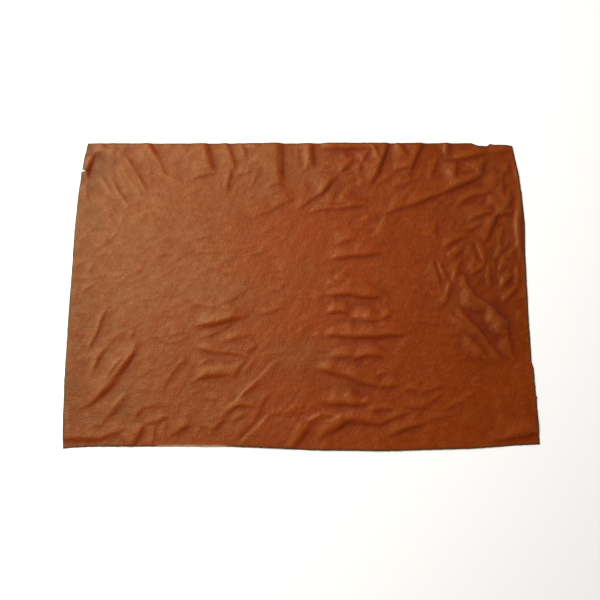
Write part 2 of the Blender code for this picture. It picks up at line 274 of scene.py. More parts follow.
LEFT_MIDDLE_CREASES = (
    Fold(-202, -160, -158, -140, -3, 22, 4.0, 1.1),
    Fold(-212, -83, -110, -62, 2, 22, 8.5, 1.0),
    Fold(-208, -196, -136, -185, -8, 22, 8.5, 1.2),
    Fold(-204, -126, -156, -138, 0, 16, 7.5, 1.0),
    Fold(-158, -112, -88, -92, 1, 18, 3.5, 1.3),
    Fold(-162, -35, -102, 0, 2, 20, 3.5, 1.4),
    Fold(-222, -36, -160, -38, 1, 22, 4.5, 1.3),
    Fold(-204, -106, -130, -72, 2, 18, 3.0, 1.1),
    Fold(-162, -44, -136, -45, 0, 10, 2.5, 0.7),
    Fold(-92, -52, -56, -52, 1, 12, 3.0, 0.8),
    Fold(-60, -52, -22, -38, -1, 14, 3.0, 0.9),
    Fold(-64, 0, -28, -9, 0, 10, 2.0, 0.7),
    Fold(-30, -10, 14, -26, 0, 12, 2.5, 1.1),
    Fold(-38, 2, -18, 12, 0, 10, 2.5, 0.6),
    Fold(-58, -67, -36, -74, 0, 10, 2.5, 0.5),
    Fold(-38, -73, 6, -69, 0, 12, 3.0, 0.5),
    Fold(-22, -92, -4, -78, 0, 12, 4.5, 0.8),
    Fold(-2, -98, 18, -84, 0, 14, 4.5, 1.4),
    Fold(-108, -134, -84, -112, 0, 14, 4.0, 1.2),
    Fold(-80, -132, -50, -104, 0, 12, 3.5, 0.6),
    Fold(-58, -137, -4, -133, 1, 10, 2.5, 0.6),
    Fold(-112, -176, -88, -144, 0, 10, 4.0, 1.0),
    Fold(-24, -188, 10, -184, 0, 10, 3.0, 0.5),
    Fold(-124, -224, -84, -192, 0, 14, 5.0, 1.7),
    Fold(-196, -222, -154, -228, -2, 14, 3.0, 1.0),
    Fold(-128, -240, -84, -240, -2, 14, 3.0, 1.5),
    Fold(-182, -266, -146, -259, 0, 10, 2.5, 0.9),
    Fold(-194, -275, -170, -282, 0, 10, 3.0, 1.0),
    Fold(-136, -270, -106, -256, 0, 14, 4.5, 1.1),
    Fold(-90, -274, -63, -210, 1, 18, 3.0, 1.0),
    Fold(-122, -304, -86, -268, 0, 14, 3.0, 1.0),
    Fold(-56, -250, -124, -314, 0, 10, 3.5, 1.2),
    Fold(-58, -254, -22, -250, 1, 10, 3.0, 0.8),
    Fold(-22, -250, 16, -232, 1, 14, 3.5, 1.0),
    Fold(-14, -254, 14, -246, 0, 10, 3.0, 0.8),
    Fold(-114, -140, -150, -138, 0, 10, 3.0, 0.7),
    Fold(-116, -158, -190, -160, 0, 18, 8.0, 1.0),
    Fold(-118, -88, -148, -97, 0, 14, 5.0, 0.9),
)
RIGHT_MIDDLE_CREASES = (
    Fold(34, -36, 54, -14, -1, 18, 4.0, 1.6),
    Fold(50, -51, 104, -55, -3, 18, 9.0, 1.5),
    Fold(104, -66, 150, -73, 2, 18, 9.0, 1.3),
    Fold(58, -101, 204, -102, 2, 24, 9.0, 1.4),
    Fold(50, -20, 166, -25, -3, 24, 9.0, 1.5),
    Fold(64, 57, 170, 73, 1, 24, 9.0, 1.4),
    Fold(64, -143, 174, -146, -3, 20, 9.0, 1.4),
    Fold(44, -168, 112, -190, 1, 22, 9.0, 0.7),
    Fold(92, -186, 158, -205, 1, 20, 9.0, 1.5),
    Fold(50, -233, 112, -240, 1, 22, 9.0, 1.2),
    Fold(70, 60, 86, 60, 0, 8, 2.5, 1.1),
    Fold(82, 60, 104, 56, 0, 8, 2.5, 0.9),
    Fold(104, 52, 64, 18, 0, 20, 4.0, 1.1),
    Fold(56, 6, 72, 8, 0, 10, 4.0, 1.1),
    Fold(72, 14, 100, 20, 0, 14, 4.5, 1.1),
    Fold(96, 40, 106, 52, 0, 10, 5.0, 1.6),
    Fold(138, 40, 162, 44, 0, 12, 4.0, 0.9),
    Fold(182, 64, 186, 90, 0, 14, 3.5, 0.7),
    Fold(142, -73, 166, -66, 0, 12, 3.0, 1.3),
    Fold(164, -64, 188, -57, 0, 10, 3.0, 1.5),
    Fold(152, -58, 134, -44, 0, 18, 7.0, 0.1),
    Fold(174, -34, 182, -18, 0, 10, 3.5, 1.1),
    Fold(46, -86, 24, -94, 0, 12, 4.0, 0.7),
    Fold(22, -97, 46, -99, 0, 8, 2.5, 1.2),
    Fold(74, -83, 110, -84, 0, 8, 2.5, 0.7),
    Fold(-6, -36, 28, -35, 0, 10, 2.5, 0.7),
    Fold(-2, -68, 26, -70, 0, 12, 4.0, 0.9),
    Fold(156, -203, 196, -199, 0, 14, 4.0, 1.7),
    Fold(208, -205, 242, -209, 0, 12, 3.0, 1.3),
    Fold(152, -182, 176, -176, 0, 12, 4.5, 1.4),
    Fold(98, -239, 142, -232, 0, 16, 4.5, 2.2),
    Fold(136, -246, 186, -243, 1, 16, 4.5, 2.0),
    Fold(100, -208, 84, -220, 0, 16, 4.5, 1.0),
    Fold(134, -219, 120, -229, 0, 10, 4.0, 1.4),
    Fold(42, -250, 14, -264, 0, 12, 4.5, 1.7),
    Fold(84, -254, 50, -266, 0, 12, 4.0, 1.2),
    Fold(14, -274, 46, -255, -2, 14, 4.5, 1.5),
    Fold(46, -254, 88, -267, -1, 12, 3.0, 1.1),
    Fold(150, -274, 218, -246, 0, 16, 4.0, 1.8),
    Fold(206, -238, 262, -240, 0, 14, 3.0, 1.3),
)
TOP_CREASES = (
    Fold(-238, 236, -164, 254, -4, 24, 4.0, 1.3),
    Fold(-280, 246, -304, 288, -2, 20, 3.5, 0.9),
    Fold(-243, 226, -282, 254, 0, 14, 3.0, 0.5),
    Fold(-230, 206, -196, 220, -1, 16, 4.0, 0.8),
    Fold(-132, 248, -102, 258, 0, 14, 3.5, 0.9),
    Fold(-104, 150, -56, 170, 0, 18, 3.5, 0.9),
    Fold(-20, 190, -34, 214, 0, 16, 3.5, 1.0),
    Fold(-116, 280, -123, 330, 0, 18, 4.5, 1.1),
    Fold(-120, 312, -90, 314, 0, 14, 5.0, 1.4),
    Fold(-100, 220, -84, 266, 0, 18, 5.0, 1.0),
    Fold(-66, 224, -14, 236, 0, 12, 3.0, 1.0),
    Fold(-8, 268, -2, 320, 0, 16, 4.0, 1.2),
    Fold(12, 322, 8, 268, 0, 18, 6.0, 1.5),
    Fold(-169, 202, -167, 244, 0, 10, 2.5, 0.4),
    Fold(-134, 200, -130, 236, 0, 10, 2.5, 0.4),
    Fold(104, 309, 172, 311, 0, 16, 5.0, 2.6),
    Fold(97, 284, 100, 306, 0, 14, 4.5, 1.3),
    Fold(46, 190, 110, 185, 1, 12, 3.0, 0.8),
    Fold(174, 286, 160, 320, 0, 18, 4.5, 2.2),
    Fold(136, 280, 152, 306, 0, 18, 4.5, 2.3),
    Fold(233, 290, 214, 326, 0, 16, 4.0, 2.8),
    Fold(198, 254, 242, 269, -2, 16, 4.0, 2.0),
    Fold(202, 223, 246, 236, 0, 16, 4.0, 2.1),
    Fold(110, 230, 78, 196, 0, 14, 4.5, 1.5),
    Fold(75, 222, 48, 204, 0, 12, 4.0, 1.0),
    Fold(125, 244, 119, 222, 0, 12, 3.5, 1.3),
    Fold(206, 206, 186, 170, 0, 18, 6.0, 1.5),
    Fold(178, 158, 150, 112, 0, 22, 7.0, 1.5),
    Fold(36, 146, 78, 148, 1, 14, 3.0, 0.8),
    Fold(56, 125, 94, 136, 0, 14, 3.5, 0.9),
    Fold(132, 140, 152, 150, 0, 12, 4.0, 1.0),
    Fold(140, 126, 168, 134, 0, 12, 3.5, 0.9),
    Fold(-4, 252, 20, 264, 0, 14, 4.5, 1.1),
    Fold(30, 258, 90, 257, 0, 14, 3.0, 0.8),
    Fold(52, 276, 72, 268, 0, 12, 3.0, 0.9),
    Fold(126, 250, 132, 276, 0, 14, 4.5, 1.5),
    Fold(164, 230, 196, 244, 0, 20, 6.0, 1.5),
    Fold(20, 206, 8, 232, 0, 14, 4.0, 0.9),
    Fold(196, 136, 218, 162, 0, 16, 4.0, 1.0),
    Fold(-96, 115, -66, 120, 0, 10, 2.0, 0.5),
    Fold(-30, 133, -6, 137, 0, 10, 2.5, 0.4),
    Fold(-232, 140, -186, 146, 2, 8, 2.0, 0.3),
    Fold(-228, 160, -194, 160, 2, 8, 2.0, 0.3),
    Fold(-230, 178, -200, 172, 0, 8, 2.0, 0.3),
    Fold(-150, 158, -112, 158, 0, 10, 2.5, 0.3),
    Fold(-146, 138, -116, 137, 0, 10, 2.5, 0.3),
)
UPPER_RIGHT_CREASES = (
    Fold(312, 334, 308, 292, 0, 18, 5.5, 2.4),
    Fold(318, 296, 320, 332, 0, 18, 5.5, 2.8),
    Fold(352, 244, 346, 276, 0, 20, 8.0, 0.2),
    Fold(386, 262, 376, 292, 0, 20, 7.0, 1.2),
    Fold(446, 182, 447, 216, 0, 14, 5.0, 3.0),
    Fold(446, 246, 449, 280, 0, 12, 4.0, 2.2),
    Fold(410, 154, 452, 165, 1, 18, 4.5, 3.0),
    Fold(283, 106, 287, 148, 0, 30, 6.0, 1.7),
    Fold(352, 124, 384, 142, 0, 16, 4.5, 1.8),
    Fold(414, 96, 428, 132, 0, 14, 4.0, 2.0),
    Fold(399, 206, 392, 178, 0, 14, 5.0, 1.2),
    Fold(412, 216, 424, 262, 0, 22, 9.0, 2.8),
    Fold(408, 300, 452, 306, 0, 16, 6.0, 2.4),
    Fold(452, 276, 462, 230, 0, 14, 6.0, 2.0),
)
UPPER_LEFT_CREASES = (
    Fold(-451, 188, -449, 236, 0, 34, 8.0, 1.6),
    Fold(-447, 244, -439, 296, -3, 16, 9.0, 2.2),
    Fold(-404, 262, -399, 330, 0, 26, 6.0, 1.5),
    Fold(-394, 202, -436, 264, 1, 14, 2.5, 1.1),
    Fold(-336, 212, -354, 244, 0, 12, 2.5, 0.8),
    Fold(-316, 220, -322, 274, 0, 14, 2.5, 0.6),
    Fold(-458, 100, -412, 152, 0, 16, 2.5, 0.5),
    Fold(-418, 170, -392, 160, 0, 10, 2.5, 0.4),
    Fold(-424, 76, -374, 128, 0, 14, 3.0, 0.6),
    Fold(-364, 136, -378, 166, 0, 12, 3.0, 0.6),
    Fold(-330, 146, -322, 164, 0, 10, 4.5, 0.8),
    Fold(-316, 160, -294, 170, 0, 10, 2.5, 0.4),
    Fold(-298, 176, -258, 174, 0, 12, 2.5, 0.4),
    Fold(-240, 176, -264, 206, 0, 12, 2.5, 0.4),
    Fold(-430, 284, -402, 300, 0, 18, 9.0, 1.8),
    Fold(-390, 284, -372, 322, 0, 20, 9.0, 1.8),
)
LEFT_CREASES = (
    Fold(-466, 48, -430, 60, 0, 10, 2.5, 0.6),
    Fold(-436, 36, -426, 54, 0, 12, 4.5, 0.9),
    Fold(-462, 20, -424, 24, 2, 14, 3.0, 0.9),
    Fold(-426, 19, -394, 30, 0, 12, 2.5, 0.6),
    Fold(-388, 21, -362, 31, 0, 10, 2.5, 0.5),
    Fold(-446, -8, -416, 10, -2, 12, 3.0, 0.7),
    Fold(-300, 68, -262, 74, 0, 16, 3.0, 0.7),
    Fold(-436, 62, -396, 74, 0, 12, 2.5, 0.4),
    Fold(-396, 73, -330, 69, 0, 12, 2.5, 0.4),
    Fold(-262, 60, -232, 74, 0, 10, 2.5, 0.4),
    Fold(-264, 42, -242, 52, 0, 8, 2.0, 0.3),
    Fold(-338, 39, -320, 36, 0, 8, 2.0, 0.4),
    Fold(-452, -52, -430, -54, 0, 8, 2.5, 0.5),
    Fold(-450, -66, -424, -60, 0, 8, 2.0, 0.3),
    Fold(-296, -60, -250, -59, 0, 12, 2.5, 0.3),
    Fold(-222, 104, -178, 109, -2, 10, 2.0, 0.6),
    Fold(-186, 98, -150, 93, -1, 10, 2.0, 0.5),
    Fold(-244, 74, -214, 84, 0, 10, 2.0, 0.4),
    Fold(-214, 79, -160, 75, 1, 12, 2.5, 0.7),
    Fold(-204, 90, -176, 87, 0, 8, 2.0, 0.5),
    Fold(-134, 84, -102, 80, 0, 12, 3.5, 0.6),
    Fold(-100, 75, -70, 73, 0, 10, 2.5, 0.5),
    Fold(-66, 70, -34, 67, 0, 12, 4.0, 0.5),
    Fold(-176, 58, -132, 60, 0, 12, 3.0, 0.5),
    Fold(-192, 41, -158, 38, -2, 10, 2.5, 0.7),
    Fold(-162, 34, -136, 33, 1, 10, 2.5, 0.8),
    Fold(-30, 55, 8, 54, 0, 10, 2.5, 0.4),
    Fold(-34, 44, 4, 40, 0, 12, 3.0, 0.4),
)
LOWER_RIGHT_CREASES = (
    Fold(340, 102, 300, 70, 0, 8, 4.0, 1.4),
    Fold(388, 10, 392, 52, 0, 14, 5.0, 2.0),
    Fold(383, 30, 380, -14, 0, 10, 4.0, 1.3),
    Fold(344, 2, 334, 30, 0, 14, 4.5, 1.5),
    Fold(286, -2, 276, 64, 0, 14, 3.5, 1.6),
    Fold(281, 62, 292, 22, 0, 8, 3.5, 1.4),
    Fold(298, 20, 290, 54, 0, 10, 3.5, 1.4),
    Fold(296, -34, 308, 10, 0, 14, 4.0, 1.6),
    Fold(302, 14, 296, -12, 0, 8, 3.5, 1.1),
    Fold(316, 18, 334, 66, 0, 14, 5.0, 2.2),
    Fold(318, 42, 308, 14, 0, 8, 3.5, 1.2),
    Fold(420, 72, 408, 38, 0, 9, 4.0, 1.3),
    Fold(452, 96, 420, 72, -2, 9, 4.0, 1.2),
    Fold(412, 100, 402, 66, 0, 8, 3.5, 1.4),
    Fold(414, 26, 404, -2, 0, 16, 6.0, 1.2),
    Fold(445, 50, 443, 12, 0, 8, 4.0, 1.5),
    Fold(448, 0, 452, 44, 0, 9, 4.5, 1.5),
    Fold(442, 10, 404, -32, 0, 10, 4.5, 1.2),
    Fold(440, -10, 420, -32, 0, 8, 3.5, 1.4),
    Fold(438, -40, 435, -84, 0, 10, 4.5, 1.2),
    Fold(388, -95, 412, -99, 0, 10, 4.0, 2.2),
    Fold(412, -104, 392, -118, 0, 18, 7.0, 1.1),
    Fold(368, -42, 334, -18, 0, 16, 5.0, 1.2),
    Fold(340, -84, 306, -50, 0, 12, 5.0, 1.6),
    Fold(286, -96, 334, -97, 0, 10, 2.5, 0.6),
    Fold(236, -70, 292, -74, 0, 12, 3.0, 0.6),
    Fold(278, -44, 302, -24, 0, 12, 4.0, 1.1),
    Fold(228, -3, 252, -6, 0, 8, 2.5, 0.8),
    Fold(252, -7, 278, -16, 0, 8, 2.5, 0.9),
    Fold(238, -236, 262, -228, 0, 10, 3.0, 1.3),
    Fold(260, -228, 282, -212, 0, 10, 3.0, 1.4),
    Fold(286, -242, 328, -228, 0, 10, 3.0, 1.1),
    Fold(244, -264, 300, -254, 0, 12, 3.0, 1.0),
    Fold(242, -208, 286, -200, 0, 12, 3.0, 1.1),
)
FINE_CREASES = (
    LOWER_LEFT_CREASES
    + LEFT_MIDDLE_CREASES
    + RIGHT_MIDDLE_CREASES
    + TOP_CREASES
    + UPPER_RIGHT_CREASES
    + UPPER_LEFT_CREASES
    + LEFT_CREASES
    + LOWER_RIGHT_CREASES
)


class Seed(IntEnum):
    """Seeds of the noises, one for each use."""

    WANDER_X = 1
    WANDER_Y = 2
    SLACK = 5
    RIPPLE = 6
    SWELL = 7
    DYE = 21  # and those after it, one for each kind of colour patch: dye, dye with painted sheen, dye with painted shade
    RAGGED_X = 31
    RAGGED_Y = 32
    WRINKLES = 40  # and those after it, one for each wrinkle field


def ease(share: np.ndarray) -> np.ndarray:
    """Rise from 0 to 1 with the share, level at both ends: 3 s squared less 2 s cubed."""
    share = np.clip(share, 0.0, 1.0)
    return share * share * (3.0 - 2.0 * share)


def turned(x: np.ndarray, y: np.ndarray, bearing: float) -> tuple[np.ndarray, np.ndarray]:
    """Distances along a bearing and to the left of it, from the sine and cosine of its angle from +X."""
    sine, cosine = math.sin(bearing), math.cos(bearing)
    return x * cosine + y * sine, y * cosine - x * sine


def bell(along: np.ndarray, across: np.ndarray) -> np.ndarray:
    """Bell curve over two distances in units of its reach: e to the power of minus their squares' sum."""
    return np.exp(-along * along - across * across)


def blend_corners(corner: Callable[[int, int], np.ndarray], right: np.ndarray, up: np.ndarray) -> np.ndarray:
    """Blend the values at the four corners of a lattice square by eased shares to the right and up.

    Args:
        corner: Gives the values at the corner so many squares to the right and up.
        right: Shares of the way from the left side of the square to the right.
        up: Shares of the way from its lower side to the upper.

    Returns:
        The blended values.
    """
    right, up = ease(right), ease(up)
    lower = corner(0, 0) * (1.0 - right) + corner(1, 0) * right
    upper = corner(0, 1) * (1.0 - right) + corner(1, 1) * right
    return lower * (1.0 - up) + upper * up


def value_noise(x: np.ndarray, y: np.ndarray, pitch: float, seed: int) -> np.ndarray:
    """Smooth noise that eases from one seeded value to the next on a square lattice round the origin.

    Args:
        x: Plan positions in metres.
        y: Plan positions in metres.
        pitch: Size of a lattice square in metres.
        seed: Seed of the values.

    Returns:
        Noise between -1 and 1.
    """
    values = np.random.default_rng(seed).uniform(-1.0, 1.0, (VALUE_LATTICE, VALUE_LATTICE))
    column = x / pitch + VALUE_LATTICE / 2
    row = y / pitch + VALUE_LATTICE / 2
    left = np.floor(column).astype(int)
    low = np.floor(row).astype(int)

    def corner(right: int, up: int) -> np.ndarray:
        """The corner's seeded value."""
        return values[low + up, left + right]

    return blend_corners(corner, column - left, row - low)


def slope_noise(
    x: np.ndarray, y: np.ndarray, pitch: float, seed: int, stretch: float = 1.0, bearing: float = 0.0
) -> np.ndarray:
    """Smooth noise from seeded slopes at the corners of a turned lattice, whose squares may be drawn out.

    Each corner gives its slope's dot product with the way from the corner, and the four are eased together.

    Args:
        x: Plan positions in metres.
        y: Plan positions in metres.
        pitch: Size of a lattice square across the bearing, in metres.
        seed: Seed of the slopes.
        stretch: How many times longer a square is along the bearing.
        bearing: Direction of the long side, in radians from +X.

    Returns:
        Noise that stays between about -1 and 1.
    """
    angles = np.random.default_rng(seed).uniform(0.0, 2.0 * math.pi, (SLOPE_LATTICE, SLOPE_LATTICE))
    along, across = turned(x, y, bearing)
    column = along / (pitch * stretch)
    row = across / pitch
    left = np.floor(column).astype(int)
    low = np.floor(row).astype(int)

    def corner(right: int, up: int) -> np.ndarray:
        """The corner's slope times the way from it."""
        angle = angles[(low + up) % SLOPE_LATTICE, (left + right) % SLOPE_LATTICE]
        return np.cos(angle) * (column - left - right) + np.sin(angle) * (row - low - up)

    return SLOPE_GAIN * blend_corners(corner, column - left, row - low)


def soften(values: np.ndarray, passes: int) -> np.ndarray:
    """Soften a grid of values.

    In each pass, a value becomes half itself and a quarter of each neighbour, across and then along.

    Args:
        values: The grid.
        passes: How often it is softened.

    Returns:
        The softened grid.
    """
    for _ in range(passes):
        padded = np.pad(values, 1, mode="edge")
        rows = 0.25 * padded[:-2] + 0.5 * padded[1:-1] + 0.25 * padded[2:]
        values = 0.25 * rows[:, :-2] + 0.5 * rows[:, 1:-1] + 0.25 * rows[:, 2:]
    return values


@dataclass(frozen=True)
class Snip:
    """The short cut in the left edge, in millimetres."""

    y: float = 258.0
    tip_x: float = -454.5
    mouth: float = 5.0
    drawn_in: float = 45.0  # how far from the edge the rows still bend towards the tip


@dataclass(frozen=True)
class CutOutline:
    """The hide's cut outline in plan: four corners and the edges between them."""

    bottom_left: Point = Point(-458.0, -319.0)
    bottom_right: Point = Point(464.0, -311.0)
    top_left: Point = Point(-459.5, 323.0)
    top_right: Point = Point(459.5, 316.5)
    bottom: tuple[Station, ...] = BOTTOM_EDGE
    top: tuple[Station, ...] = TOP_EDGE
    left: tuple[Station, ...] = LEFT_EDGE
    right: tuple[Station, ...] = RIGHT_EDGE
    snip: Snip = Snip()
    ragged_pitch: float = 0.013
    ragged: float = 0.0004

    @property
    def width(self) -> float:
        """Length of the top edge in metres."""
        return (self.top_right.x - self.top_left.x) * MM

    @property
    def depth(self) -> float:
        """Length of the left edge in metres."""
        return (self.top_left.y - self.bottom_left.y) * MM

    @property
    def tip_share(self) -> float:
        """Share of the depth at which the snip lies."""
        return (self.snip.y - self.bottom_left.y) * MM / self.depth

    def inset(self, s: np.ndarray, t: np.ndarray) -> np.ndarray:
        """Distance in from the nearest cut edge, in metres."""
        return np.minimum(np.minimum(s, 1.0 - s) * self.width, np.minimum(t, 1.0 - t) * self.depth)

    @staticmethod
    def edge_at(
        stations: tuple[Station, ...], start: tuple[float, ...], end: tuple[float, ...], along: np.ndarray
    ) -> np.ndarray:
        """Where an edge lies at each place along its axis, straight from one station to the next.

        Args:
            stations: The stations between its corners.
            start: The corner where it starts, as its places along the axis and across it.
            end: The corner where it ends, likewise.
            along: Places along the axis, in millimetres.

        Returns:
            The edge's places across the axis, in millimetres.
        """
        places = [start[0]] + [station.along for station in stations] + [end[0]]
        edges = [start[1]] + [station.edge for station in stations] + [end[1]]
        return np.interp(along, places, edges)

    def uncut(self, s: np.ndarray, t: np.ndarray) -> tuple[np.ndarray, np.ndarray]:
        """Plan position with no snip: both pairs of facing edges blended, less the corners' own blend.

        Args:
            s: Shares from the left edge to the right edge.
            t: Shares from the bottom edge to the top edge.

        Returns:
            Plan x and y in metres.
        """
        bottom_x = self.bottom_left.x + (self.bottom_right.x - self.bottom_left.x) * s
        top_x = self.top_left.x + (self.top_right.x - self.top_left.x) * s
        left_y = self.bottom_left.y + (self.top_left.y - self.bottom_left.y) * t
        right_y = self.bottom_right.y + (self.top_right.y - self.bottom_right.y) * t
        bottom_y = self.edge_at(self.bottom, self.bottom_left, self.bottom_right, bottom_x)
        top_y = self.edge_at(self.top, self.top_left, self.top_right, top_x)
        left_x = self.edge_at(self.left, self.bottom_left[::-1], self.top_left[::-1], left_y)
        right_x = self.edge_at(self.right, self.bottom_right[::-1], self.top_right[::-1], right_y)

        def blend(facing: tuple[np.ndarray, ...], axis: int) -> np.ndarray:
            """One axis of the blend.

            Args:
                facing: Where the bottom, top, left and right edges are, in millimetres.
                axis: 0 for x and 1 for y.

            Returns:
                Plan positions in metres.
            """
            bottom, top, left, right = facing
            corners = (
                (1 - s) * (1 - t) * self.bottom_left[axis]
                + s * (1 - t) * self.bottom_right[axis]
                + (1 - s) * t * self.top_left[axis]
                + s * t * self.top_right[axis]
            )
            return ((1 - t) * bottom + t * top + (1 - s) * left + s * right - corners) * MM

        return blend((bottom_x, top_x, left_x, right_x), 0), blend((bottom_y, top_y, left_y, right_y), 1)

    def plan(self, s: np.ndarray, t: np.ndarray) -> tuple[np.ndarray, np.ndarray]:
        """Plan position on the finished outline: the raw edge wavers, and the snip's rows bend to its tip.

        The waver is noise that dies out a few millimetres in from the edge. In the snip, the middle row
        starts at the tip and its neighbours at the edge, which opens a wedge.

        Args:
            s: Shares from the left edge to the right edge.
            t: Shares from the bottom edge to the top edge.

        Returns:
            Plan x and y in metres.
        """
        x, y = self.uncut(s, t)
        waver = self.ragged * np.exp(-self.inset(s, t) / self.ragged_pitch)
        x = x + waver * slope_noise(x, y, self.ragged_pitch, Seed.RAGGED_X)
        y = y + waver * slope_noise(x, y, self.ragged_pitch, Seed.RAGGED_Y)
        edge_x, _ = self.uncut(np.zeros_like(s), t)
        from_tip = np.abs(t - self.tip_share) * self.depth
        opening = np.clip(1.0 - from_tip / (self.snip.mouth * MM / 2), 0.0, 1.0)
        drawn = np.clip(1.0 - (x - edge_x) / (self.snip.drawn_in * MM), 0.0, 1.0)
        return x + opening * drawn * drawn * (self.snip.tip_x * MM - edge_x), y


class Pillows(NamedTuple):
    """One size of the soft pillows that crinkle the whole face, in metres and radians."""

    pitch: float
    height: float
    seed: int
    stretch: float
    bearing: float


PILLOWS = (
    Pillows(0.0170, 0.00042, 11, 1.6, 0.5),
    Pillows(0.0289, 0.00042, 12, 2.2, 0.9),
    Pillows(0.0085, 0.00033, 13, 1.3, -0.4),
)


class WrinkleField(NamedTuple):
    """A patch of fine wrinkles that run nearly parallel, in millimetres and degrees."""

    x: float
    y: float
    reach_along: float
    reach_across: float
    bearing: float
    pitch: float
    height: float


WRINKLE_FIELDS = (
    WrinkleField(-185, 85, 70, 60, 2, 13, 0.55),
    WrinkleField(-330, 10, 110, 70, 28, 14, 0.40),
    WrinkleField(-400, -20, 50, 60, -35, 10, 0.40),
    WrinkleField(-250, -170, 120, 80, 52, 15, 0.40),
    WrinkleField(-60, -120, 90, 80, 40, 12, 0.35),
    WrinkleField(-20, -240, 90, 60, 48, 13, 0.50),
    WrinkleField(90, 20, 110, 90, 4, 15, 0.35),
    WrinkleField(90, -170, 120, 70, -8, 14, 0.50),
    WrinkleField(80, 150, 90, 60, 12, 13, 0.40),
    WrinkleField(60, 260, 90, 60, 58, 14, 0.60),
    WrinkleField(-130, 250, 110, 60, 75, 13, 0.55),
    WrinkleField(-340, 220, 90, 80, -55, 13, 0.60),
    WrinkleField(240, 240, 110, 70, 62, 14, 0.60),
    WrinkleField(370, 200, 90, 80, 38, 13, 0.60),
    WrinkleField(340, 40, 70, 90, 60, 12, 0.65),
    WrinkleField(410, 60, 50, 100, 72, 11, 0.60),
    WrinkleField(290, -190, 130, 50, 20, 12, 0.55),
    WrinkleField(380, -90, 80, 70, -52, 12, 0.50),
)


@dataclass(frozen=True)
class Lie:
    """How the hide lies: its folds and creases, the slack between them, and the fine crinkle of its face."""

    folds: tuple[Fold, ...] = MAIN_FOLDS + FINE_CREASES
    run_on: float = 0.15
    fade: float = 0.50
    crest_share: float = 0.68
    gentle_at_ends: float = 0.4
    steep_at_ends: float = 0.5
    wander_pitch: float = 0.038
    wander: float = 0.0025
    swell_pitch: float = 0.034
    swell: float = 0.42
    slack_pitch: float = 0.110
    slack_rise: float = 0.0011
    ripple_pitch: float = 0.040
    ripple_rise: float = 0.0005
    mean_lift: float = 0.0010
    settle: float = 0.0010
    pillows: tuple[Pillows, ...] = PILLOWS
    wrinkle_fields: tuple[WrinkleField, ...] = WRINKLE_FIELDS
    wrinkle_stretch: float = 4.5

    def fold_lift(self, fold: Fold, x: np.ndarray, y: np.ndarray) -> np.ndarray:
        """Height that one fold adds.

        Across the line, the steep flank is half a sine wave down from a crest to a trough, which share out
        the fold's rise. From both, a bell curve leads gently back to level. Along the line, the fold eases in
        and out at both ends, where its flanks narrow too.

        Args:
            fold: The fold's row.
            x: Plan positions in metres.
            y: Plan positions in metres.

        Returns:
            Heights in metres.
        """
        x0, y0, x1, y1, bow, gentle, steep, rise = (size * MM for size in fold)
        length = math.hypot(x1 - x0, y1 - y0)
        toward_x = (x1 - x0) / length
        toward_y = (y1 - y0) / length
        share = ((x - x0) * toward_x + (y - y0) * toward_y) / length
        right = (x - x0) * toward_y - (y - y0) * toward_x - 4.0 * bow * share * (1.0 - share)
        fullness = ease((share + self.run_on) / self.fade) * ease((1.0 + self.run_on - share) / self.fade)
        gentle_reach = gentle * (self.gentle_at_ends + (1.0 - self.gentle_at_ends) * fullness)
        steep_half = steep * (self.steep_at_ends + (1.0 - self.steep_at_ends) * fullness)
        off_flank = np.maximum(np.abs(right) - steep_half, 0.0)
        level = np.exp(-np.square(off_flank / gentle_reach))
        across = self.crest_share - 0.5 - 0.5 * np.sin(math.pi / 2 * np.clip(right / steep_half, -1.0, 1.0))
        return rise * fullness * level * across

    def underside(self, x: np.ndarray, y: np.ndarray) -> np.ndarray:
        """Height of the underside over the table.

        It is the sum of the folds on wandering lines, swollen by noise, plus slack, ripple and a mean lift.
        Low places are then settled: up to the settling height the lift becomes its square over twice that
        height, and above it the lift loses half that height, so that the hide meets the table smoothly.

        Args:
            x: Plan positions in metres.
            y: Plan positions in metres.

        Returns:
            Heights in metres, none below 0.
        """
        wandered_x = x + self.wander * value_noise(x, y, self.wander_pitch, Seed.WANDER_X)
        wandered_y = y + self.wander * value_noise(x, y, self.wander_pitch, Seed.WANDER_Y)
        lift = np.zeros_like(x)
        for fold in self.folds:
            lift += self.fold_lift(fold, wandered_x, wandered_y)
        lift *= 1.0 + self.swell * value_noise(x, y, self.swell_pitch, Seed.SWELL)
        lift += self.slack_rise * value_noise(x, y, self.slack_pitch, Seed.SLACK)
        lift += self.ripple_rise * value_noise(x, y, self.ripple_pitch, Seed.RIPPLE)
        lift += self.mean_lift
        low = np.clip(lift, 0.0, self.settle)
        return np.where(lift < self.settle, low * low / (2.0 * self.settle), lift - self.settle / 2.0)

    def crinkle(self, x: np.ndarray, y: np.ndarray) -> np.ndarray:
        """Fine relief of the grain side over the underside's shape.

        The size of slope noise gives soft pillows with narrow valleys between them. There are three sizes of
        it all over, and patches where the pillows are drawn out into nearly parallel wrinkles.

        Args:
            x: Plan positions in metres.
            y: Plan positions in metres.

        Returns:
            Heights in metres, from 0 up.
        """
        relief = np.zeros_like(x)
        for size in self.pillows:
            pillows = slope_noise(x, y, size.pitch, size.seed, size.stretch, size.bearing)
            relief += size.height * np.abs(pillows)
        for number, field in enumerate(self.wrinkle_fields):
            bearing = math.radians(field.bearing)
            along, across = turned(x / MM - field.x, y / MM - field.y, bearing)
            share = bell(along / field.reach_along, across / field.reach_across)
            seed = Seed.WRINKLES + number
            wrinkles = slope_noise(x, y, field.pitch * MM, seed, self.wrinkle_stretch, bearing)
            relief += field.height * MM * share * np.abs(wrinkles)
        return relief


class Face(IntEnum):
    """The faces of the hide, in the order of its material slots."""

    GRAIN_SIDE = 0
    CUT_EDGE = 1
    FLESH_SIDE = 2


